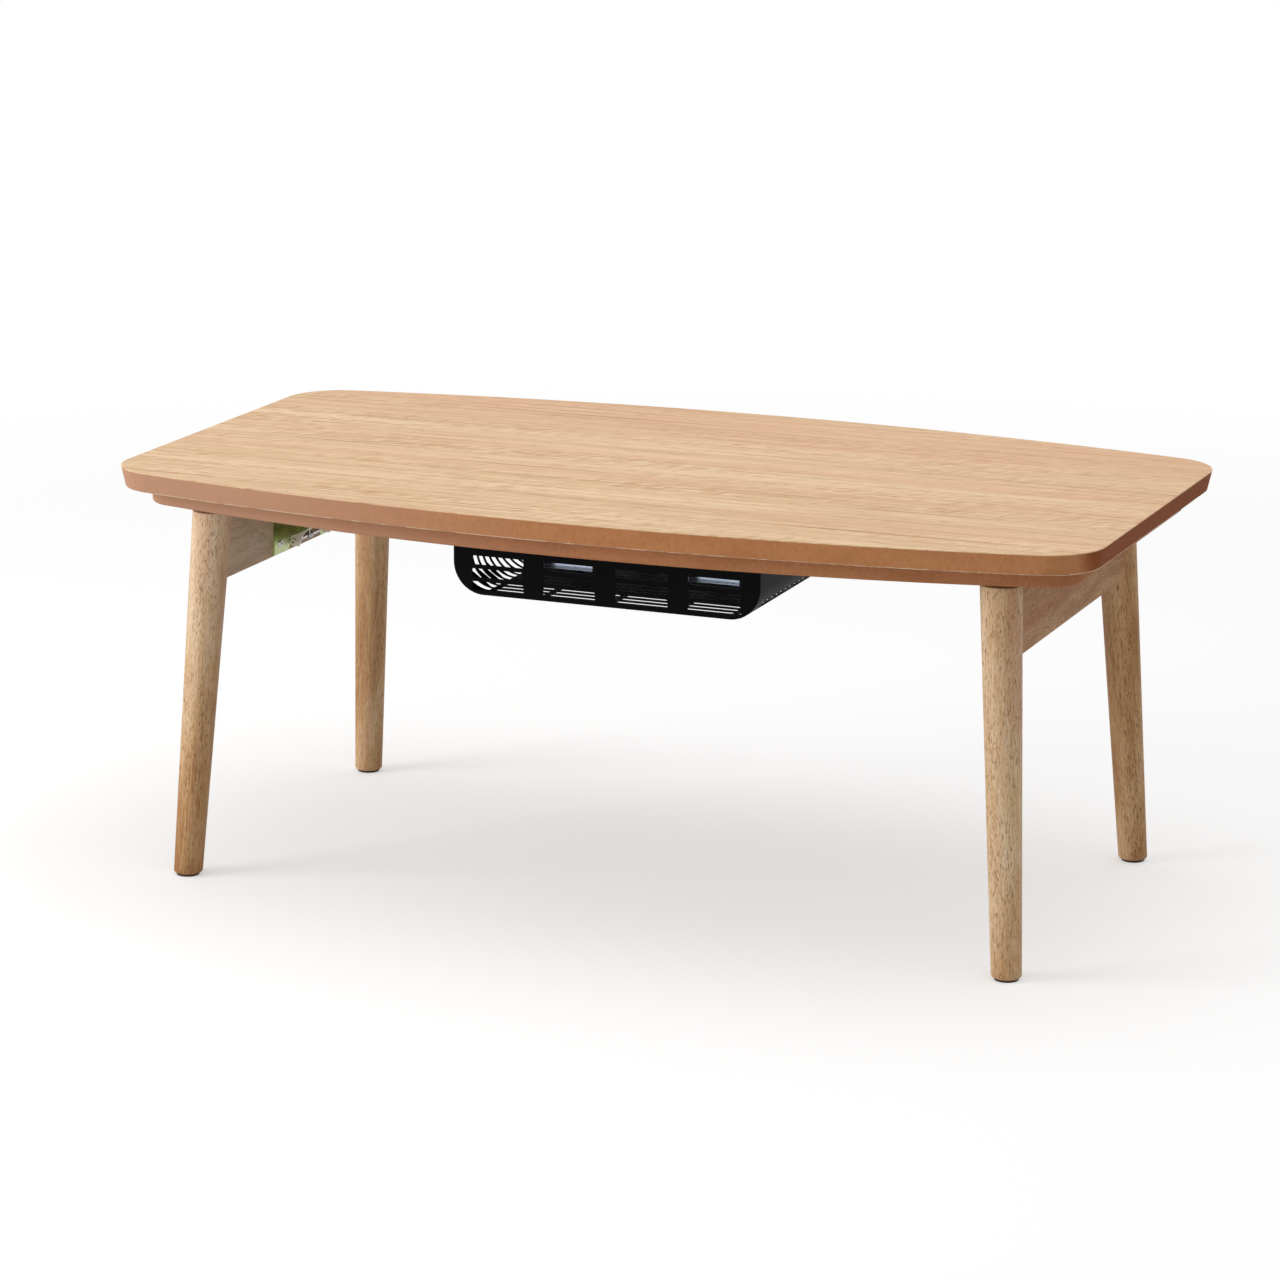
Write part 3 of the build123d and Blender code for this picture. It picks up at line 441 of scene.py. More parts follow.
def makeEnamel(name, look):
    # sprayed enamel or moulded plastic: fine orange peel, dust and slightly duller patches
    start, place = newMaterial(name)
    peel = place.scaled(900, 900, 900).noise(2, 0.5)
    cloud = place.scaled(40, 40, 40).noise(3, 0.6)
    dust = place.scaled(2600, 2600, 2600).noise(1).step(0.68, 0.8)
    color = (cloud * 0.4 + dust * 0.3).blend(srgb(*look["base"]), srgb(*look["scuff"]))
    sockets = {"Base Color": color, "Roughness": look["roughness"] + cloud * 0.14 + dust * 0.1,
               "Specular IOR Level": look["specular"]}
    finishMaterial(start, sockets, peel + dust * 0.3, 0.00006)


ceramicLook = {"base": (236, 231, 220), "stain": (206, 194, 174), "roughness": 0.5, "depth": 0.00005}


def makeCeramic():
    # dry-pressed ceramic with fine pits and faint stains
    look = ceramicLook
    start, place = newMaterial("whiteCeramic")
    grain = place.scaled(2200, 2200, 2200).noise(3, 0.6)
    stain = place.scaled(150, 150, 150).noise(3)
    pits = grain.step(0.66, 0.74)
    color = (stain.step(0.45, 0.8) * 0.5 + pits * 0.3).blend(srgb(*look["base"]), srgb(*look["stain"]))
    sockets = {"Base Color": color, "Roughness": look["roughness"] + grain * 0.2}
    finishMaterial(start, sockets, grain - pits, look["depth"])


sleeveLook = {
    "low": (196, 190, 176), "high": (238, 234, 224), "wave": 2100, "roughness": 0.7, "depth": 0.00006,
}


def makeSleeve():
    # braided glass sleeving: diamond lattice of two crossed waves
    look = sleeveLook
    start, place = newMaterial("leadSleeve")
    across, along = place.axis(0) * look["wave"], place.axis(1) * look["wave"]
    braid = (across + along).maths("SINE") * (across - along).maths("SINE")
    fuzz = place.scaled(1800, 1800, 1800).noise(2)
    color = (braid * 0.25 + fuzz * 0.4).step(0.0, 0.6).blend(srgb(*look["low"]), srgb(*look["high"]))
    sockets = {"Base Color": color, "Roughness": look["roughness"] + fuzz * 0.2}
    finishMaterial(start, sockets, braid + fuzz, look["depth"])


quartzLook = {
    "clear": (250, 248, 246), "milky": (232, 234, 238), "roughness": 0.03, "ior": 1.46,
    "transmission": 0.92, "depth": 0.00002,
}


def makeQuartz():
    # clear fused tube, slightly milky, with drawn lines along it
    look = quartzLook
    start, place = newMaterial("quartzGlass")
    lines = place.scaled(700, 12, 700).noise(2)
    color = lines.blend(srgb(*look["clear"]), srgb(*look["milky"]))
    sockets = {"Base Color": color, "Roughness": look["roughness"] + lines * 0.08, "IOR": look["ior"],
               "Transmission Weight": look["transmission"]}
    finishMaterial(start, sockets, lines, look["depth"])


makeLegWood("legWood", legWoodLook)
makeLegWood("shadedRailWood", shadedRailLook)
makeFacePrint()
makeStain("stainTop", stainLook)
makeStain("stainBoard", boardStainLook)
makeBacking()
makeDowelWood()
makeUnderPrint()
for make, looks in ((makeFuzz, fuzzLooks), (makeMetal, metalLooks), (makeEnamel, enamelLooks)):
    for name, look in looks.items():
        make(name, look)
makeGalvanised()
makeCeramic()
makeSleeve()
makeQuartz()
print("materials:", len(materials))


# mesh building

def linked(name, data):
    # new object with this data, put in the scene
    made = bpy.data.objects.new(name, data)
    bpy.context.scene.collection.objects.link(made)
    return made


def addPiece(name, mesh, materialNames, body, node, smoothAngle=34):
    # puts a finished mesh in the scene, smooth up to an angle, riding on its body
    mesh.materials.clear()
    for materialName in materialNames:
        mesh.materials.append(materials[materialName])
    mesh.shade_smooth()
    mesh.set_sharp_from_angle(angle=math.radians(smoothAngle))
    piece = linked(name, mesh)
    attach(piece, body)
    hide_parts(node)
    return piece


# metres between points that count as one, in built forms and in the solids' meshes
shortestEdge = 1e-7
mergeDistance = 2e-6


def loftMesh(name, rings, loop=False):
    # quads between neighbouring rings of a (rings, points, 3) array; each end is capped by strips
    # that join a point to its mirror image in the ring, or the last ring joins the first
    rows, count, _ = rings.shape
    row = np.arange(rows if loop else rows - 1)[:, None] * count
    column = np.arange(count)[None, :]
    following = (column + 1) % count
    upper = (row + count) % (rows * count)
    quads = np.stack([row + column, row + following, upper + following, upper + column], -1).reshape(-1, 4)
    faces = quads.tolist()
    if not loop:
        half = np.arange(count // 2)
        strip = np.stack([half, half + 1, count - half - 1, (count - half) % count], -1)
        last = (rows - 1) * count
        faces += strip[:, ::-1].tolist() + (strip + last).tolist()
    mesh = bpy.data.meshes.new(name)
    mesh.from_pydata(rings.reshape(-1, 3), [], faces)
    edit = bmesh.new()
    edit.from_mesh(mesh)
    bmesh.ops.dissolve_degenerate(edit, dist=shortestEdge, edges=edit.edges)
    bmesh.ops.recalc_face_normals(edit, faces=edit.faces)
    edit.to_mesh(mesh)
    edit.free()
    return mesh


def joined(name, meshes):
    # one mesh from several
    edit = bmesh.new()
    for mesh in meshes:
        edit.from_mesh(mesh)
    whole = bpy.data.meshes.new(name)
    edit.to_mesh(whole)
    edit.free()
    return whole


def setAttribute(mesh, name, values):
    # one value or vector for each point
    kind, field = ("FLOAT_VECTOR", "vector") if values.ndim == 2 else ("FLOAT", "value")
    layer = mesh.attributes.new(name, kind, "POINT")
    layer.data.foreach_set(field, np.ascontiguousarray(values, np.float32).ravel())


def meshPoints(mesh):
    points = np.empty(len(mesh.vertices) * 3, np.float32)
    mesh.vertices.foreach_get("co", points)
    return points.reshape(-1, 3).astype(float)


def circleRing(count):
    # unit circle as (count, 2) cosines and sines
    angles = np.arange(count) * (2 * math.pi / count)
    return np.stack([np.cos(angles), np.sin(angles)], -1)


# degrees between faces: up to flatAngle they are joined, from sharpAngle on they meet at an edge
flatAngle = 0.5
sharpAngle = 32


def refined(node, name, material, body, edge):
    # merged copy of a solid's mesh, its flat faces joined, with narrow rounded edges
    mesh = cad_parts[node].data.copy()
    mesh.name = name
    edit = bmesh.new()
    edit.from_mesh(mesh)
    bmesh.ops.remove_doubles(edit, verts=edit.verts, dist=mergeDistance)
    bmesh.ops.dissolve_limit(edit, angle_limit=math.radians(flatAngle), verts=edit.verts,
                             edges=edit.edges)
    edit.to_mesh(mesh)
    edit.free()
    piece = addPiece(name, mesh, [material], body, node, sharpAngle)
    if edge:
        bevel = piece.modifiers.new("roundedEdges", "BEVEL")
        bevel.width = edge
        bevel.segments = 2
        bevel.limit_method = "ANGLE"
        bevel.angle_limit = math.radians(sharpAngle)
        bevel.harden_normals = True
    return piece


# table top

topSpec = {
    "length": 0.445, "middle": 0.250, "end": 0.200, "corner": 0.052,
    "top": 0.365, "faceSheet": 0.3642, "backingSheet": 0.3478, "bottom": 0.347,
    "edgeInset": 0.004, "arris": 0.0005,
}
# points along each stretch of a quarter of the outline
loopSteps = {"wide": 64, "corner": 20, "end": 6}


def bowedLoop(spec, inset):
    # one quarter is a wide arc, a corner arc and a straight end: centre + (radius - inset) * (cos, sin)
    # of the angle; the loop mirrors it in both axes and runs anticlockwise from the middle of the end
    length, middle, corner = spec["length"], spec["middle"], spec["corner"]
    rise = middle - spec["end"]
    bow = (length ** 2 + rise ** 2) / (2 * rise)
    bowY, cornerX = middle - bow, length - corner
    cornerY = bowY + math.sqrt((bow - corner) ** 2 - cornerX ** 2)
    meet = math.atan2(cornerY - bowY, cornerX)
    wide = np.linspace(meet, math.pi / 2, loopSteps["wide"] + 1)[1:]
    tight = np.linspace(0, meet, loopSteps["corner"] + 1)
    straight = np.linspace(0, cornerY, loopSteps["end"] + 1)[:-1]
    x = np.concatenate([np.full(len(straight), length - inset),
                        cornerX + (corner - inset) * np.cos(tight), (bow - inset) * np.cos(wide)])
    y = np.concatenate([straight, cornerY + (corner - inset) * np.sin(tight),
                        bowY + (bow - inset) * np.sin(wide)])
    quarter = np.stack([x, y], -1)
    half = np.concatenate([quarter, (quarter * (-1, 1))[-2::-1]])
    return np.concatenate([half, (half * (1, -1))[-2:0:-1]])


def stackRings(loops, heights):
    # rings from (points, 2) loops, each at its own height
    return np.stack([np.column_stack([loop, np.full(len(loop), z)]) for loop, z in zip(loops, heights)])


# points of each quarter circle of a rounded side
roundSteps = 5


def roundedSide(low, high, lowRadius, highRadius):
    # (extra inset, height) pairs up a side: a quarter circle at the bottom, then one at the top
    turn = np.linspace(0, math.pi / 2, roundSteps)
    pairs = []
    if lowRadius:
        pairs += list(zip(lowRadius * (1 - np.sin(turn)), low + lowRadius * (1 - np.cos(turn))))
    else:
        pairs.append((0.0, low))
    if highRadius:
        pairs += list(zip(highRadius * (1 - np.cos(turn)), high - highRadius * (1 - np.sin(turn))))
    else:
        pairs.append((0.0, high))
    return pairs


rimWidth = 0.0012


def rimmed(pairs):
    # a narrow level ring inside each end, which keeps the shading of the level faces flat
    (firstInset, low), (lastInset, high) = pairs[0], pairs[-1]
    return [(firstInset + rimWidth, low), *pairs, (lastInset + rimWidth, high)]


topLayers = {
    # name: lower and upper level, radius of the lower and of the upper edge, material, slot, node
    "topFaceSheet": ("faceSheet", "top", 0, topSpec["arris"], "facePrint", "face_print", "top_face_sheet"),
    "topCore": ("backingSheet", "faceSheet", 0, 0, "stainTop", "stained_edge", "top_core"),
    "topBackingSheet": ("bottom", "backingSheet", topSpec["arris"], 0, "backingSheet", "backing",
                        "top_backing_sheet"),
}


def makeTopLayer(name):
    # one layer of the undercut top: its inset grows in step with the depth under the upper face
    low, high, lowRadius, highRadius, material, slot, node = topLayers[name]
    slope = topSpec["edgeInset"] / (topSpec["top"] - topSpec["bottom"])
    pairs = rimmed(roundedSide(topSpec[low], topSpec[high], lowRadius, highRadius))
    loops = [bowedLoop(topSpec, extra + (topSpec["top"] - z) * slope) for extra, z in pairs]
    mesh = loftMesh(name, stackRings(loops, [z for _, z in pairs]))
    addPiece(name, mesh, [material], "top_panel", node)


for name in topLayers:
    makeTopLayer(name)
print("top: three layers")


# lower board with the heater's opening

def roundedLoop(halfX, halfY, corner, steps):
    # rectangle with corner arcs, anticlockwise
    arc = np.linspace(0, math.pi / 2, steps)
    parts = []
    for turn, (signX, signY) in enumerate(((1, 1), (-1, 1), (-1, -1), (1, -1))):
        angle = arc + turn * math.pi / 2
        parts.append(np.stack([signX * (halfX - corner) + corner * np.cos(angle),
                               signY * (halfY - corner) + corner * np.sin(angle)], -1))
    return np.concatenate(parts)


def loopAtAngles(loop, angles):
    # points of a loop round the origin at given polar angles, interpolated along it
    own = np.unwrap(np.arctan2(loop[:, 1], loop[:, 0]))
    own = np.concatenate([own - 2 * math.pi, own, own + 2 * math.pi])
    wide = np.concatenate([loop, loop, loop])
    return np.stack([np.interp(angles, own, wide[:, k]) for k in (0, 1)], -1)


boardSpec = {
    "length": 0.423, "middle": 0.2265, "end": 0.1706, "corner": 0.030,
    "top": 0.345, "bottom": 0.330, "upperArris": 0.0007, "lowerRadius": 0.003,
    "openingX": 0.124, "openingY": 0.121, "openingCorner": 0.010, "openingSteps": 9,
    "levelNormal": 0.99,
}


def makeBoard():
    # outer side with rounded arrises, then the upper face, the opening's wall and the lower face
    spec = boardSpec
    pairs = rimmed(roundedSide(spec["bottom"], spec["top"], spec["lowerRadius"], spec["upperArris"]))
    loops = [bowedLoop(spec, extra) for extra, _ in pairs]
    heights = [z for _, z in pairs]
    opening = roundedLoop(spec["openingX"], spec["openingY"], spec["openingCorner"],
                          spec["openingSteps"])
    angles = np.unwrap(np.arctan2(loops[0][:, 1], loops[0][:, 0]))
    inner = loopAtAngles(opening, angles)
    loops += [inner, inner]
    heights += [spec["top"], spec["bottom"]]
    mesh = loftMesh("lowerBoard", stackRings(loops, heights), loop=True)
    addPiece("lowerBoard", mesh, ["stainBoard", "underPrint"], "base", "frame_board")
    # the level faces have the second material, the sides keep the first
    for face in mesh.polygons:
        face.material_index = int(abs(face.normal.z) > spec["levelNormal"])


makeBoard()
print("lower board")


# legs and rails

legSpec = {
    "footX": 0.3792, "footY": 0.1856, "footRadius": 0.0128, "headX": 0.35935, "headY": 0.16294,
    "headRadius": 0.0175, "boardLevel": 0.330, "bottom": 0.002, "top": 0.3275, "footRound": 0.0025,
    "headRound": 0.0008, "around": 64, "along": 70,
}
# tones from the foot up, partly the wood's own colour and partly painted light and shade (the rear legs
# and the feet darker, the upper left front leg palest), and the turn and shift of the grain inside the leg
legLooks = {
    "left_front": {"tones": (0.08, 0.5, 0.86, 1.2), "turn": 2.1, "shift": (0.0, 0.0, 0.008)},
    "left_rear": {"tones": (0.42, 0.42, 0.6, 0.9), "turn": 4.0, "shift": (0.0062, 0.0, 0.026)},
    "right_front": {"tones": (0.62, 0.7, 0.8, 0.76), "turn": 0.6, "shift": (0.0, 0.0084, 0.044)},
    "right_rear": {"tones": (0.42, 0.4, 0.44, 0.66), "turn": 5.3, "shift": (0.011, 0.004, 0.062)},
}


def legLine(z):
    # share of the way from the foot to the board's level, and from it the axis and the radius
    share = z / legSpec["boardLevel"]
    return [legSpec["foot" + key] + (legSpec["head" + key] - legSpec["foot" + key]) * share
            for key in ("X", "Y", "Radius")]


def makeLeg(side, end):
    # level circles round a splayed axis, growing from foot to head, with a rounded foot
    spec, look = legSpec, legLooks[f"{side}_{end}"]
    outline = roundedSide(spec["bottom"], spec["top"], spec["footRound"], spec["headRound"])
    insets, heights = np.transpose(outline)
    shaft = np.linspace(heights[roundSteps - 1], heights[roundSteps], spec["along"])[1:-1]
    z = np.concatenate([heights[:roundSteps], shaft, heights[roundSteps:]])
    inset = np.concatenate([insets[:roundSteps], np.zeros(len(shaft)), insets[roundSteps:]])
    axisX, axisY, radius = legLine(z)
    circle = circleRing(spec["around"])
    rings = np.empty((len(z), spec["around"], 3))
    rings[:, :, 0] = sides[side] * axisX[:, None] + (radius - inset)[:, None] * circle[:, 0]
    rings[:, :, 1] = ends[end] * axisY[:, None] + (radius - inset)[:, None] * circle[:, 1]
    rings[:, :, 2] = z[:, None]
    name = side + end.capitalize() + "Leg"
    mesh = loftMesh(name, rings)
    points = meshPoints(mesh)
    pathX, pathY, _ = legLine(points[:, 2])
    ownX = points[:, 0] - sides[side] * pathX
    ownY = points[:, 1] - ends[end] * pathY
    cosTurn, sinTurn = math.cos(look["turn"]), math.sin(look["turn"])
    grain = np.stack([ownX * cosTurn - ownY * sinTurn, ownX * sinTurn + ownY * cosTurn, points[:, 2]], -1)
    setAttribute(mesh, "grain", grain + look["shift"])
    # lightness by height: partly the wood's own colour, partly painted light and shade
    levels = np.linspace(0, spec["top"], len(look["tones"]))
    setAttribute(mesh, "tone", np.interp(points[:, 2], levels, look["tones"]))
    addPiece(name, mesh, ["legWood"], f"{side}_legs", f"{side}_{end}_leg")


# level and distance from the table's middle where a rail's grain starts, and its edges' radius
railSpec = {"grainZ": 0.29, "grainX": 0.36, "edge": 0.0006}
# the rails' lightness is partly painted shade: the right rail's outer face, seen in shade, is darker
railLooks = {
    "left": {"material": "shadedRailWood", "tone": 0.55, "shift": (0.004, 0.01, 0.7)},
    "right": {"material": "legWood", "tone": 0.3, "shift": (0.02, 0.0, 1.9)},
}


def makeRail(side):
    # the solid's own form, with the grain along y
    look = railLooks[side]
    rail = refined(f"{side}_rail", side + "Rail", look["material"], f"{side}_legs",
                   railSpec["edge"])
    points = meshPoints(rail.data)
    grain = np.stack([points[:, 2] - railSpec["grainZ"], np.abs(points[:, 0]) - railSpec["grainX"],
                      points[:, 1]], -1)
    setAttribute(rail.data, "grain", grain + look["shift"])
    setAttribute(rail.data, "tone", np.full(len(points), look["tone"]))


dowelSpec = {
    "radius": 0.004, "inner": 0.130, "length": 0.032, "heights": (0.280, 0.310), "chamfer": 0.0006,
    "endRings": 4, "flute": 0.00022, "flutes": 16, "around": 96,
}


def makeDowels(side):
    # fluted pegs along y: the radius falls by flute * (1 - |sin|) of the flutes' angle, and at both ends
    spec = dowelSpec
    near = np.arange(spec["endRings"]) * spec["chamfer"]
    along = np.concatenate([near, spec["length"] - near[::-1]])
    nearest = np.minimum(along, spec["length"] - along)
    taper = spec["chamfer"] * np.clip(1 - nearest / spec["chamfer"], 0, 1)
    angle = np.arange(spec["around"]) * (2 * math.pi / spec["around"])
    groove = spec["flute"] * (1 - np.abs(np.sin(angle * spec["flutes"] / 2)))
    radius = spec["radius"] - taper[:, None] - groove[None, :]
    meshes = []
    for end in ends.values():
        for height in spec["heights"]:
            x = sides[side] * legLine(height)[0] + radius * np.cos(angle)
            z = height + radius * np.sin(angle)
            y = np.broadcast_to(end * (spec["inner"] + along)[:, None], radius.shape)
            meshes.append(loftMesh("dowelForm", np.stack([x, y, z], -1)))
    name = side + "Dowels"
    addPiece(name, joined(name, meshes), ["dowelWood"], f"{side}_legs", f"{side}_dowels")


for side in sides:
    for end in ends:
        makeLeg(side, end)
    makeRail(side)
    makeDowels(side)
print("legs and rails")


# pieces that keep their solid's form, with rounded edges

keptForms = [
    # node, body, material, slot, edge radius
    ("rest_pads", "base", "felt", "felt", 0.0006),
    ("heater_housing", "base", "galvanised", "galvanised", 0.0003),
    ("insulation_pad", "base", "insulationMat", "insulation", 0.0005),
    ("heater_guard", "base", "guardEnamel", "guard_black", 0.0002),
    ("heater_screws", "base", "blackScrew", "black_screws", 0.00015),
    ("guard_screws", "base", "blackScrew", "black_screws", 0.00015),
    ("tube_brackets", "base", "brightSheet", "reflector", 0.0002),
    ("tube_clip", "base", "galvanised", "galvanised", 0.0002),
    ("control_plate", "base", "galvanised", "galvanised", 0.0002),
    ("terminal_block", "base", "whiteCeramic", "white_ceramic", 0.0004),
    ("thermostat", "base", "darkPlastic", "dark_plastic", 0.0003),
    ("thermal_fuse", "base", "paleZinc", "galvanised", 0.0002),
    ("heater_leads", "base", "leadSleeve", "lead_sleeve", 0),
    ("inlet_shell", "base", "darkPlastic", "dark_plastic", 0.0003),
    ("inlet_pins", "base", "inletBrass", "inlet_brass", 0.0004),
]
for side in sides:
    keptForms += [
        (f"{side}_hinge_plate", "base", "oliveZinc", "green_zinc", 0.0003),
        (f"{side}_hinge_screws", "base", "paleZinc", "zinc", 0.00015),
        (f"{side}_pivot_rod", "base", "paleZinc", "zinc", 0.0003),
        (f"{side}_strike_rod", "base", "paleZinc", "zinc", 0.0003),
        (f"{side}_rail_plate", f"{side}_legs", "oliveZinc", "green_zinc", 0.0003),
        (f"{side}_rail_screws", f"{side}_legs", "paleZinc", "zinc", 0.00015),
        (f"{side}_latch_rod", f"{side}_legs", "paleZinc", "zinc", 0.0002),
        (f"{side}_foot_pads", f"{side}_legs", "footPlastic", "foot_plastic", 0.0005),
        (f"{side}_latch", f"{side}_latch", "latchZinc", "zinc", 0.0003),
    ]


def pieceName(node):
    # the node's words run together, each but the first with a capital
    first, *rest = node.split("_")
    return first + "".join(word.capitalize() for word in rest)


for node, body, material, slot, edge in keptForms:
    refined(node, pieceName(node), material, body, edge)
print("kept forms:", len(keptForms))


# heating tube, coil and springs

tubeSpec = {
    "middleX": 0.027, "halfSpacing": 0.067, "z": 0.308, "bendY": 0.035, "endY": -0.116,
    "radius": 0.005, "wall": 0.001, "rings": 121, "around": 28, "smoothAngle": 60,
}


def tubePath(distance, endY):
    # a straight run to the bend, a half circle, and a straight run back, by distance along the line;
    # gives the points and the level directions square to the line
    spec = tubeSpec
    run = spec["bendY"] - endY
    angle = np.clip((distance - run) / spec["halfSpacing"], 0, math.pi)
    before = np.clip(distance, 0, run)
    after = np.clip(distance - run - math.pi * spec["halfSpacing"], 0, None)
    x = spec["middleX"] - spec["halfSpacing"] * np.cos(angle)
    y = endY + before + spec["halfSpacing"] * np.sin(angle) - after
    points = np.stack([x, y, np.full_like(x, spec["z"])], -1)
    outward = np.stack([-np.cos(angle), np.sin(angle), np.zeros_like(x)], -1)
    return points, outward


def pathLength(endY):
    return 2 * (tubeSpec["bendY"] - endY) + math.pi * tubeSpec["halfSpacing"]


def sweptRings(points, reference, radius, count):
    # circles square to a line: the reference direction is made square to the tangent, and a cosine of it
    # and a sine of their cross product give each ring
    tangent = np.gradient(points, axis=0)
    tangent /= np.linalg.norm(tangent, axis=1, keepdims=True)
    first = reference - (reference * tangent).sum(1, keepdims=True) * tangent
    first /= np.linalg.norm(first, axis=1, keepdims=True)
    second = np.cross(tangent, first)
    circle = circleRing(count)
    offset = circle[None, :, 0:1] * first[:, None, :] + circle[None, :, 1:2] * second[:, None, :]
    return points[:, None, :] + offset * np.reshape(radius, (-1, 1, 1))


def makeTube():
    # outer wall out and inner wall back, joined at both open ends
    spec = tubeSpec
    distance = np.linspace(0, pathLength(spec["endY"]), spec["rings"])
    points, outward = tubePath(distance, spec["endY"])
    outer = sweptRings(points, outward, spec["radius"], spec["around"])
    inner = sweptRings(points, outward, spec["radius"] - spec["wall"], spec["around"])[::-1]
    mesh = loftMesh("quartzTube", np.concatenate([outer, inner]), loop=True)
    addPiece("quartzTube", mesh, ["quartzGlass"], "base", "quartz_tube", spec["smoothAngle"])


coilSpec = {
    "radius": 0.0026, "wire": 0.00028, "pitch": 0.0017, "inset": 0.002, "ringsPerTurn": 12, "around": 5,
    "smoothAngle": 80,
}


def makeCoil():
    # helix round the tube's line: line point + radius * (cos * outward + sin * up) of a steady turn
    spec = coilSpec
    endY = tubeSpec["endY"] + spec["inset"]
    length = pathLength(endY)
    distance = np.linspace(0, length, int(length / spec["pitch"] * spec["ringsPerTurn"]))
    points, outward = tubePath(distance, endY)
    angle = distance / spec["pitch"] * 2 * math.pi
    radial = np.cos(angle)[:, None] * outward + np.sin(angle)[:, None] * np.array([0, 0, 1.0])
    rings = sweptRings(points + radial * spec["radius"], radial, spec["wire"], spec["around"])
    mesh = loftMesh("heatingCoil", rings)
    addPiece("heatingCoil", mesh, ["coilWire"], "base", "heating_coil", spec["smoothAngle"])


capSpec = {
    "radius": 0.0075, "length": 0.018, "overlap": 0.008, "groove": 0.0006, "grooves": (0.006, 0.0125),
    "grooveWidth": 0.0016, "edgeDrop": 0.0006, "edge": 0.0008, "rings": 48, "around": 36,
    "smoothAngle": 50,
}


def makeEndCaps():
    # turned ceramic caps: a cylinder whose radius drops in two grooves and at both rounded ends
    spec = capSpec
    y = np.linspace(0, spec["length"], spec["rings"])
    radius = np.full(spec["rings"], spec["radius"])
    for groove in spec["grooves"]:
        radius -= spec["groove"] * np.exp(-3 * ((y - groove) / spec["grooveWidth"]) ** 2)
    nearest = np.minimum(y, spec["length"] - y)
    radius -= spec["edgeDrop"] * np.clip(1 - nearest / spec["edge"], 0, 1) ** 2
    start = tubeSpec["endY"] + spec["overlap"] - spec["length"]
    up = np.tile([0.0, 0.0, 1.0], (spec["rings"], 1))
    meshes = []
    for sign in (-1, 1):
        x = tubeSpec["middleX"] + sign * tubeSpec["halfSpacing"]
        points = np.stack([np.full_like(y, x), start + y, np.full_like(y, tubeSpec["z"])], -1)
        meshes.append(loftMesh("capForm", sweptRings(points, up, radius, spec["around"])))
    addPiece("tubeEndCaps", joined("tubeEndCaps", meshes), ["whiteCeramic"], "base",
             "tube_end_caps", spec["smoothAngle"])


springSpec = {
    "rodX": 0.347, "rodZ": 0.273, "radius": 0.00255, "wire": 0.00045, "turns": 5.5, "pitch": 0.0015,
    "railLeg": 0.007, "leverLeg": 0.010, "railRings": 8, "leverRings": 10, "ringsPerTurn": 28,
    "around": 12, "smoothAngle": 60,
}


def makeSpring(side):
    # helix along y from one side of the rod, both ends running on straight up as tangents
    spec = springSpec
    sign = sides[side]
    turn = np.linspace(0, 2 * math.pi * spec["turns"], int(spec["turns"] * spec["ringsPerTurn"]))
    coil = np.stack([spec["radius"] * np.cos(turn), -spec["radius"] * np.sin(turn),
                     spec["pitch"] * turn / (2 * math.pi)], -1)
    lean = math.atan(spec["pitch"] / (2 * math.pi * spec["radius"]))
    railWay = np.array([0, math.cos(lean), -math.sin(lean)])
    leverWay = railWay * (1, 1, -1)
    before = coil[0] + np.linspace(spec["railLeg"], 0, spec["railRings"] + 1)[:-1, None] * railWay
    after = coil[-1] + np.linspace(0, spec["leverLeg"], spec["leverRings"] + 1)[1:, None] * leverWay
    local = np.concatenate([before, coil, after])
    half = spec["pitch"] * spec["turns"] / 2
    radial = np.stack([sign * local[:, 0], np.zeros(len(local)), local[:, 1]], -1)
    points = radial + np.stack([np.full(len(local), sign * spec["rodX"]), sign * (local[:, 2] - half),
                                np.full(len(local), spec["rodZ"])], -1)
    name = side + "LatchSpring"
    mesh = loftMesh(name, sweptRings(points, radial, spec["wire"], spec["around"]))
    addPiece(name, mesh, ["springWire"], f"{side}_latch", f"{side}_latch_spring",
             spec["smoothAngle"])


makeTube()
makeCoil()
makeEndCaps()
for side in sides:
    makeSpring(side)
print("tube, coil, caps and springs")


# reflector

reflectorSpec = {
    "halfX": 0.120, "halfY": 0.117, "corner": 0.008, "rim": 0.3284, "crown": 0.3356, "lip": 0.008,
    "slope": 0.016, "bead": 0.0007, "beadPlaces": (0.034, 0.060), "beadWidth": 0.005, "wall": 0.0006,
    "slopeEnd": 0.030, "slopeRings": 31, "crownStart": 0.031, "crownEnd": 0.115, "crownRings": 70,
    "cornerSteps": 13, "around": 160, "smoothAngle": 50,
}


def makeReflector():
    # dish by distance in from the rim's edge: level rim, smooth rise over the slope, level crown with two
    # raised beads; each ring is the rounded rectangle shrunk by that distance
    spec = reflectorSpec
    inset = np.concatenate([np.linspace(0, spec["slopeEnd"], spec["slopeRings"]),
                            np.linspace(spec["crownStart"], spec["crownEnd"], spec["crownRings"])])
    share = np.clip((inset - spec["lip"]) / spec["slope"], 0, 1)
    height = spec["rim"] + (spec["crown"] - spec["rim"]) * share * share * (3 - 2 * share)
    for place in spec["beadPlaces"]:
        height -= spec["bead"] * np.exp(-4 * ((inset - place) / spec["beadWidth"]) ** 2)
    outline = roundedLoop(spec["halfX"], spec["halfY"], spec["corner"], spec["cornerSteps"])
    loop = loopAtAngles(outline, np.arange(spec["around"]) * (2 * math.pi / spec["around"]))
    loops = [loop * (1 - d / spec["halfX"], 1 - d / spec["halfY"]) for d in inset]
    rings = np.concatenate([stackRings(loops, height)[::-1], stackRings(loops, height + spec["wall"])])
    mesh = loftMesh("reflectorDish", rings)
    addPiece("reflectorDish", mesh, ["brightSheet"], "base", "heater_reflector",
             spec["smoothAngle"])


makeReflector()
print("reflector")


# floor, light and camera

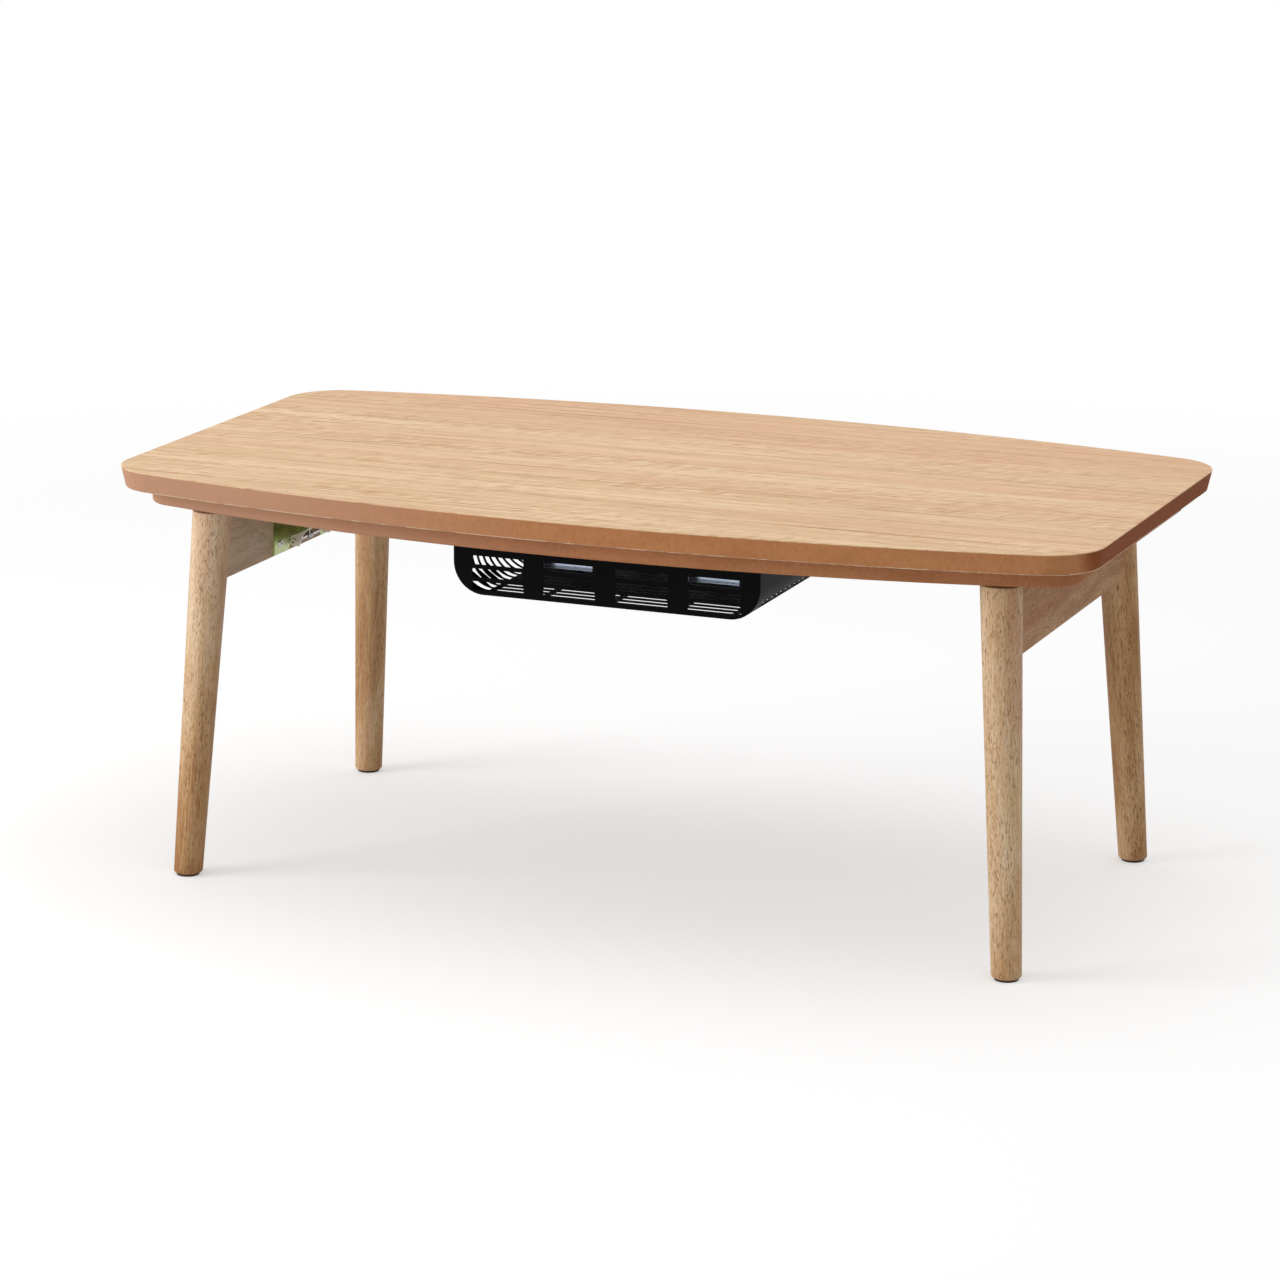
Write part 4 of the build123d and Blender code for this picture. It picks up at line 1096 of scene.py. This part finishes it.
stageLook = {
    "floorHalf": 14.0, "floorSquares": 14, "floorColor": (214, 214, 214), "glow": 0.45,
    "nearEdge": 1.0, "farEdge": 2.4, "skyStrength": 0.5,
}


def seenBy(start, first, *others):
    # 1 on light paths of these kinds, 0 on others
    seen = start.node("LightPath", out=first)
    for kind in others:
        seen = seen.maths("MAXIMUM", seen, start.node("LightPath", out=kind))
    return seen


def makeFloor():
    # level squares that look white and keep the shadows near the table, plain white further out, and
    # clear from below
    look = stageLook
    steps = np.linspace(-look["floorHalf"], look["floorHalf"], look["floorSquares"] + 1)
    gridX, gridY = np.meshgrid(steps, steps)
    points = np.stack([gridX, gridY, np.zeros_like(gridX)], -1).reshape(-1, 3)
    square = np.arange(look["floorSquares"])
    row = len(steps)
    first = (square[:, None] * row + square[None, :]).reshape(-1, 1)
    mesh = bpy.data.meshes.new("floor")
    mesh.from_pydata(points, [], (first + np.array([0, 1, row + 1, row])).tolist())
    floor = linked("floor", mesh)
    start, place = newMaterial("floorPaper")
    plain = start.node("BsdfDiffuse", values={"Color": srgb(*look["floorColor"])})
    seen = seenBy(start, "Is Camera Ray", "Is Glossy Ray")
    glow = start.node("Emission", values={"Strength": seen * look["glow"]})
    near = start.node("AddShader", values={0: plain, 1: glow})
    distance = start.node("VectorMath", {"operation": "LENGTH"}, {0: place}, "Value")
    white = start.node("Emission", values={"Strength": 1.0})
    far = distance.step(look["nearEdge"], look["farEdge"]) * seen
    above = start.node("MixShader", values={0: far, 1: near, 2: white})
    fromBelow = start.node("NewGeometry", out="Backfacing")
    clear = start.node("BsdfTransparent")
    surface = start.node("MixShader", values={0: fromBelow, 1: above, 2: clear})
    start.node("OutputMaterial", values={"Surface": surface}, out=None)
    mesh.materials.append(materials["floorPaper"])


def makeSky():
    # white where it is seen, also in a shine or through glass, and dimmer as a light
    world = bpy.data.worlds.new("sky")
    bpy.context.scene.world = world
    start = emptyTree(world)
    seen = seenBy(start, "Is Camera Ray", "Is Glossy Ray", "Is Transmission Ray")
    strength = seen * (1 - stageLook["skyStrength"]) + stageLook["skyStrength"]
    sky = start.node("Background", values={"Color": srgb(255, 255, 255), "Strength": strength})
    start.node("OutputWorld", values={"Surface": sky}, out=None)


# places and sizes in metres, power in watts
lamps = {
    "keySoftbox": {"place": (-2.9, -2.1, 1.25), "size": 1.8, "power": 66, "color": (1.0, 0.985, 0.97)},
    "topSoftbox": {"place": (0.2, 0.1, 2.8), "size": 2.4, "power": 22, "color": (1.0, 1.0, 1.0)},
}
lampAim = Vector((0, 0, 0.2))


def makeLamps():
    # square softboxes, turned to the table
    for name, lamp in lamps.items():
        light = bpy.data.lights.new(name, "AREA")
        light.size = lamp["size"]
        light.energy = lamp["power"]
        light.color = lamp["color"]
        holder = linked(name, light)
        holder.location = lamp["place"]
        holder.rotation_euler = (lampAim - holder.location).to_track_quat("-Z", "Y").to_euler()


# place in metres, angles in radians, lens and sensor in millimetres
cameraSpec = {
    "place": (1.43325, -3.57991, 1.16529), "heading": -0.4067, "pitch": -0.2444, "roll": -0.0006,
    "lens": 126.86, "sensor": 36.0, "shiftX": 0.0697, "shiftY": 0.0037, "reach": 60.0,
}


def makeCamera():
    # a level view turned to its heading, tilted down by the pitch and rolled a trace
    spec = cameraSpec
    camera = bpy.data.cameras.new("viewCamera")
    camera.lens = spec["lens"]
    camera.sensor_width = spec["sensor"]
    camera.shift_x, camera.shift_y = spec["shiftX"], spec["shiftY"]
    camera.clip_end = spec["reach"]
    holder = linked("viewCamera", camera)
    turn = Matrix.Rotation(-spec["heading"], 4, "Z") @ Matrix.Rotation(math.pi / 2 + spec["pitch"], 4, "X")
    holder.matrix_world = Matrix.Translation(spec["place"]) @ turn @ Matrix.Rotation(spec["roll"], 4, "Z")
    bpy.context.scene.camera = holder


makeFloor()
makeSky()
makeLamps()
makeCamera()
bpy.context.scene.view_settings.view_transform = "Standard"
print("stage, lamps and camera")
